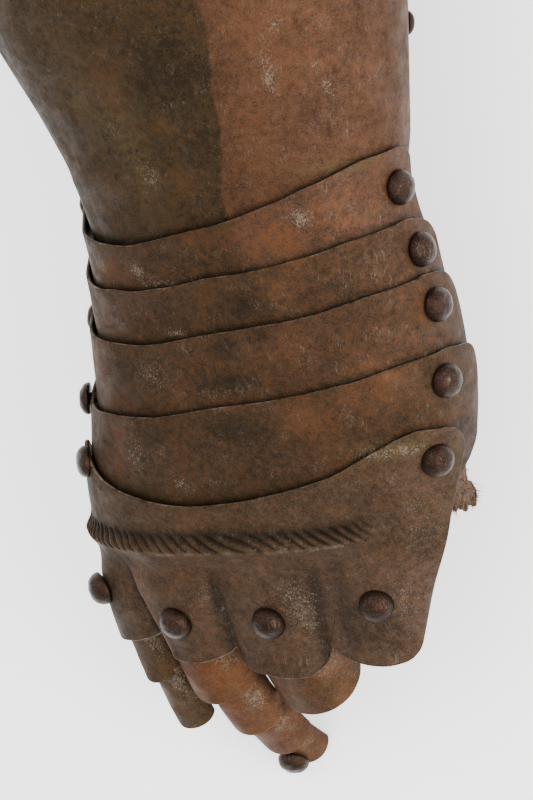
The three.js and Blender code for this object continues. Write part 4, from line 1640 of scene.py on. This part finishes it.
    def strap_steps(self, finger: Finger) -> list[Step]:
        """The strap's steps: two on the lobe's inner face, then two under each scale.

        Args:
            finger: The finger.

        Returns:
            The steps.
        """
        lobe = next(lobe for lobe in self.knuckles.lobes if lobe.finger == finger.name)
        direction = FORM.outward(lobe.rivet_y, lobe.rivet_angle, no_offset)
        pitch, roll = np.degrees(np.arctan2(-direction[1], direction[2])), np.degrees(np.arcsin(direction[0]))
        start = self.turn(float(pitch), float(roll), 0.0)
        depth = PLATE_WALL + self.lobe_gap
        steps = []
        for reach in (self.strap_reach, -self.strap_reach):
            place = self.knuckles.point(lobe.rivet_y + reach, lobe.rivet_angle, depth)
            steps.append(Step(place, start, self.strap_half))
        for _, scale, step in self.chain(finger):
            forward = scale.length - self.overlap
            drop = self.bow * (forward / scale.length) ** 2 + PLATE_STEP
            bore = scale.width / 2.0 - PLATE_WALL
            clear = PLATE_WALL + self.loose_gap + bore - np.sqrt(bore ** 2 - step.half ** 2)
            steps.append(step.under(1.0, clear, step.half))
            steps.append(step.under(forward - 2.0, drop + clear, step.half))
        return steps

    def build(self, iron: bpy.types.Material, leather: bpy.types.Material, rivets: Rivets) -> None:
        """Builds the scales, the straps and the fingertip's rivet and dresses them.

        Args:
            iron: The scales' material.
            leather: The leather's material.
            rivets: Makes the rivets.
        """
        for number, finger in enumerate(self.fingers):
            for n, (name, scale, step) in enumerate(self.chain(finger)):
                piece = self.scale(f"{name}_fine", scale, step, finger.tone, 300 + 20 * number + 3 * n)
                dress(piece, iron, "knuckles", [name])
                if name == "scale_ring_4":
                    local = np.array((0.0, self.tip_back - scale.length, -self.bow / 2.0))
                    seat = step.place + step.turn @ local
                    rivets.add("ring_tip_rivet", rivets.tip, seat, step.turn[:, 2], "knuckles")
            strap = self.strap(f"strap_{finger.name}_fine", self.strap_steps(finger))
            dress(strap, leather, "knuckles", [f"strap_{finger.name}"])


@dataclass
class ThumbLeather:
    """What is left of the thumb's leather: a torn flap past the last lame, and loose fibres."""

    from_angle: float = 79.0
    to_angle: float = 98.0
    from_y: float = -74.0
    to_y: float = -95.0
    offset: float = -2.2
    curl: float = 2.6
    curl_start: float = 0.6
    fibres: int = 520

    def surface(self, across: Array, down: Array, depth: Array | float) -> Array:
        """The flap's points: along the form under the plates, curling out past them, with torn sides.

        Even rows in y and angle on the form, moved by random ripples that grow towards the torn sides.

        Args:
            across: Share from one side to the other, 0 to 1.
            down: Share from the root to the tip, 0 to 1.
            depth: How far under the outer face, in mm.

        Returns:
            The points in mm.
        """
        torn = 3.2 * ripple(71, across * 40.0, down * 40.0, 2.2, 90.0) * smooth((down - 0.5) / 0.5)
        torn_side = 2.5 * ripple(72, down * 40.0, across * 40.0, 3.0, 90.0) * smooth((across - 0.5) / 0.5)
        y = mix(self.from_y, self.to_y, down) + torn
        angle = mix(self.from_angle, self.to_angle, across) + torn_side
        out = self.offset + self.curl * smooth((down - self.curl_start) / (1.0 - self.curl_start))
        crumple = 0.5 * ripple(73, across * 20.0, down * 25.0, 3.5, 3.5)
        return FORM.point(y, angle, out + crumple - depth)

    def flap(self) -> bpy.types.Object:
        """The torn flap, thin at its torn rim.

        Returns:
            The object.
        """
        across, down = np.meshgrid(packed(60, 18.0), packed(60, 23.0))
        distance = np.minimum(np.minimum(down, 1 - down) * 23.0, np.minimum(across, 1 - across) * 18.0)
        drawn = rim_round(distance, 0.75)
        outer = self.surface(across, down, drawn)
        return wall("thumb_flap", outer, self.surface(across, down, LEATHER_WALL - drawn), {})

    def tuft(self) -> bpy.types.Object:
        """Loose fibres as thin three-sided strands that leave the torn rim, bend and taper.

        Each strand is a bent line with three points round it, whose radius shrinks to its end.

        Returns:
            The object.
        """
        rng = np.random.default_rng(75)
        count, rings = self.fibres, 7
        along_rim = rng.uniform(0.0, 1.0, count)
        on_end = rng.random(count) < 0.62
        across = np.where(on_end, along_rim, rng.uniform(0.55, 1.0, count))
        down = np.where(on_end, rng.uniform(0.78, 1.0, count), mix(0.35, 1.0, along_rim))
        root = self.surface(across, down, rng.uniform(0.1, LEATHER_WALL - 0.1, count))
        aims = ((0.55, 0.5), (-0.7, 0.6), (0.1, 0.6))
        lead = np.stack([rng.normal(middle, spread, count) for middle, spread in aims], axis=-1)
        lead /= np.linalg.norm(lead, axis=1, keepdims=True)
        bend = rng.normal(0.0, 0.55, (count, 3))
        length = rng.uniform(0.6, 2.4, count)
        t = np.linspace(0.0, 1.0, rings)
        heading = lead[:, None] + bend[:, None] * t[None, :, None]
        path = root[:, None] + (length[:, None] * t)[..., None] * heading
        side = np.cross(lead, (0.3, 0.2, 0.93))
        side /= np.linalg.norm(side, axis=1, keepdims=True)
        other = np.cross(lead, side)
        radius = rng.uniform(0.08, 0.2, count)[:, None] * (1.0 - 0.7 * t)
        turns = np.radians((0.0, 120.0, 240.0))
        around = np.cos(turns)[:, None] * side[:, None, None] + np.sin(turns)[:, None] * other[:, None, None]
        points = (path[:, :, None] + radius[..., None, None] * around).reshape(-1, 3)
        n = np.arange(count * rings * 3).reshape(count, rings, 3)
        right = np.roll(n, -1, axis=2)
        quads = np.stack((n[:, :-1], right[:, :-1], right[:, 1:], n[:, 1:]), axis=-1).reshape(-1, 4)
        caps = np.concatenate((n[:, 0, ::-1], n[:, -1]))
        if signed_volume(points, quads) < 0:
            quads, caps = quads[:, ::-1], caps[:, ::-1]
        return new_piece("thumb_fibres", points, [quads, caps], {})

    def build(self, leather: bpy.types.Material, fibre: bpy.types.Material) -> None:
        """Builds the flap and its fibres and dresses them."""
        dress(self.flap(), leather, "knuckles", ["thumb_leather"])
        dress(self.tuft(), fibre, "knuckles", [])


# ---------------------------------------------------------------- studio


@dataclass
class Studio:
    """A pale floor, soft lights and the camera, placed round the aim point."""

    aim: tuple[float, float, float] = (12.03, -36.71, 51.76)
    toward: tuple[float, float] = (0.4695, 0.1392)
    roll: float = 6.0
    distance: float = 950.0
    lens: float = 151.8
    right_step: float = 1.27
    down_step: float = 1.41
    floor_drop: float = 0.3
    floor_size: float = 6.0

    def axes(self) -> tuple[Array, Array, Array]:
        """The camera's right, up and backward directions.

        Returns:
            Three unit vectors.
        """
        back = np.array((*self.toward, np.sqrt(1.0 - sum(v * v for v in self.toward))))
        up = np.array((0.0, 1.0, 0.0)) - back[1] * back
        up /= np.linalg.norm(up)
        right = np.cross(up, back)
        c, s = np.cos(np.radians(self.roll)), np.sin(np.radians(self.roll))
        return c * right - s * up, s * right + c * up, back

    def camera(self) -> None:
        """Adds the camera and makes it the scene's."""
        right, up, back = self.axes()
        aim = np.array(self.aim) + self.right_step * right - self.down_step * up
        data = bpy.data.cameras.new("Camera")
        data.lens = self.lens
        data.sensor_width = 36.0
        data.clip_start = 0.05
        data.clip_end = 20.0
        camera = bpy.data.objects.new("Camera", data)
        turn = Matrix((right, up, back)).transposed().to_4x4()
        camera.matrix_world = Matrix.Translation((aim + self.distance * back) * MM) @ turn
        bpy.context.scene.collection.objects.link(camera)
        bpy.context.scene.camera = camera

    def light(self, name: str, right: float, up: float, back: float, size: float, power: float) -> None:
        """Adds a square area light that faces the aim, at a place given in metres along the camera's axes.

        Args:
            name: The light's name.
            right: Step to the camera's right.
            up: Step up.
            back: Step towards the camera.
            size: Side of the square in metres.
            power: Power in watts.
        """
        axes = self.axes()
        step = right * axes[0] + up * axes[1] + back * axes[2]
        data = bpy.data.lights.new(name, "AREA")
        data.size = size
        data.energy = power
        light = bpy.data.objects.new(name, data)
        light.location = np.array(self.aim) * MM + step
        light.rotation_euler = Vector(step).to_track_quat("Z", "Y").to_euler()
        bpy.context.scene.collection.objects.link(light)

    def floor(self) -> None:
        """Adds the pale floor."""
        half = self.floor_size / 2.0
        z = -self.floor_drop * MM
        mesh = bpy.data.meshes.new("Floor")
        corners = [(-half, -half, z), (half, -half, z), (half, half, z), (-half, half, z)]
        mesh.from_pydata(corners, [], [(0, 1, 2, 3)])
        floor = bpy.data.objects.new("Floor", mesh)
        bpy.context.scene.collection.objects.link(floor)
        material = bpy.data.materials.new("Pale floor")
        material.use_nodes = True
        shader = material.node_tree.nodes["Principled BSDF"]
        shader.inputs["Base Color"].default_value = (0.93, 0.93, 0.925, 1.0)
        shader.inputs["Roughness"].default_value = 0.9
        shader.inputs["Emission Color"].default_value = (1.0, 1.0, 1.0, 1.0)
        shader.inputs["Emission Strength"].default_value = 0.9
        mesh.materials.append(material)

    def world(self) -> None:
        """Sets a soft white surround."""
        world = bpy.data.worlds.new("Surround")
        world.use_nodes = True
        background = world.node_tree.nodes["Background"]
        background.inputs["Color"].default_value = (1.0, 1.0, 1.0, 1.0)
        background.inputs["Strength"].default_value = 1.75
        bpy.context.scene.world = world

    def build(self) -> None:
        """Builds the studio."""
        self.floor()
        self.world()
        self.light("Key", 0.6, -0.15, 0.95, 0.7, 20.0)
        self.light("Fill", -0.8, 0.3, 0.9, 0.9, 8.0)
        self.camera()


def main() -> None:
    """Builds the gauntlet sub-assembly by sub-assembly, then the studio."""
    logging.basicConfig(level=logging.INFO, format="%(name)s: %(message)s")
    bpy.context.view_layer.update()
    rivets = Rivets(RIVET_IRON.build())
    Cuff().build(CUFF_IRON.build(), rivets)
    Lames().build(PLATE_IRON.build(), rivets)
    knuckles = KnucklePlate()
    knuckles.build(KNUCKLE_IRON.build(), rivets)
    leather = LEATHER.build()
    Fingers(knuckles).build(SCALE_IRON.build(), leather, rivets)
    ThumbLeather().build(leather, FIBRE.build())
    Studio().build()


if __name__ == "__main__":
    main()
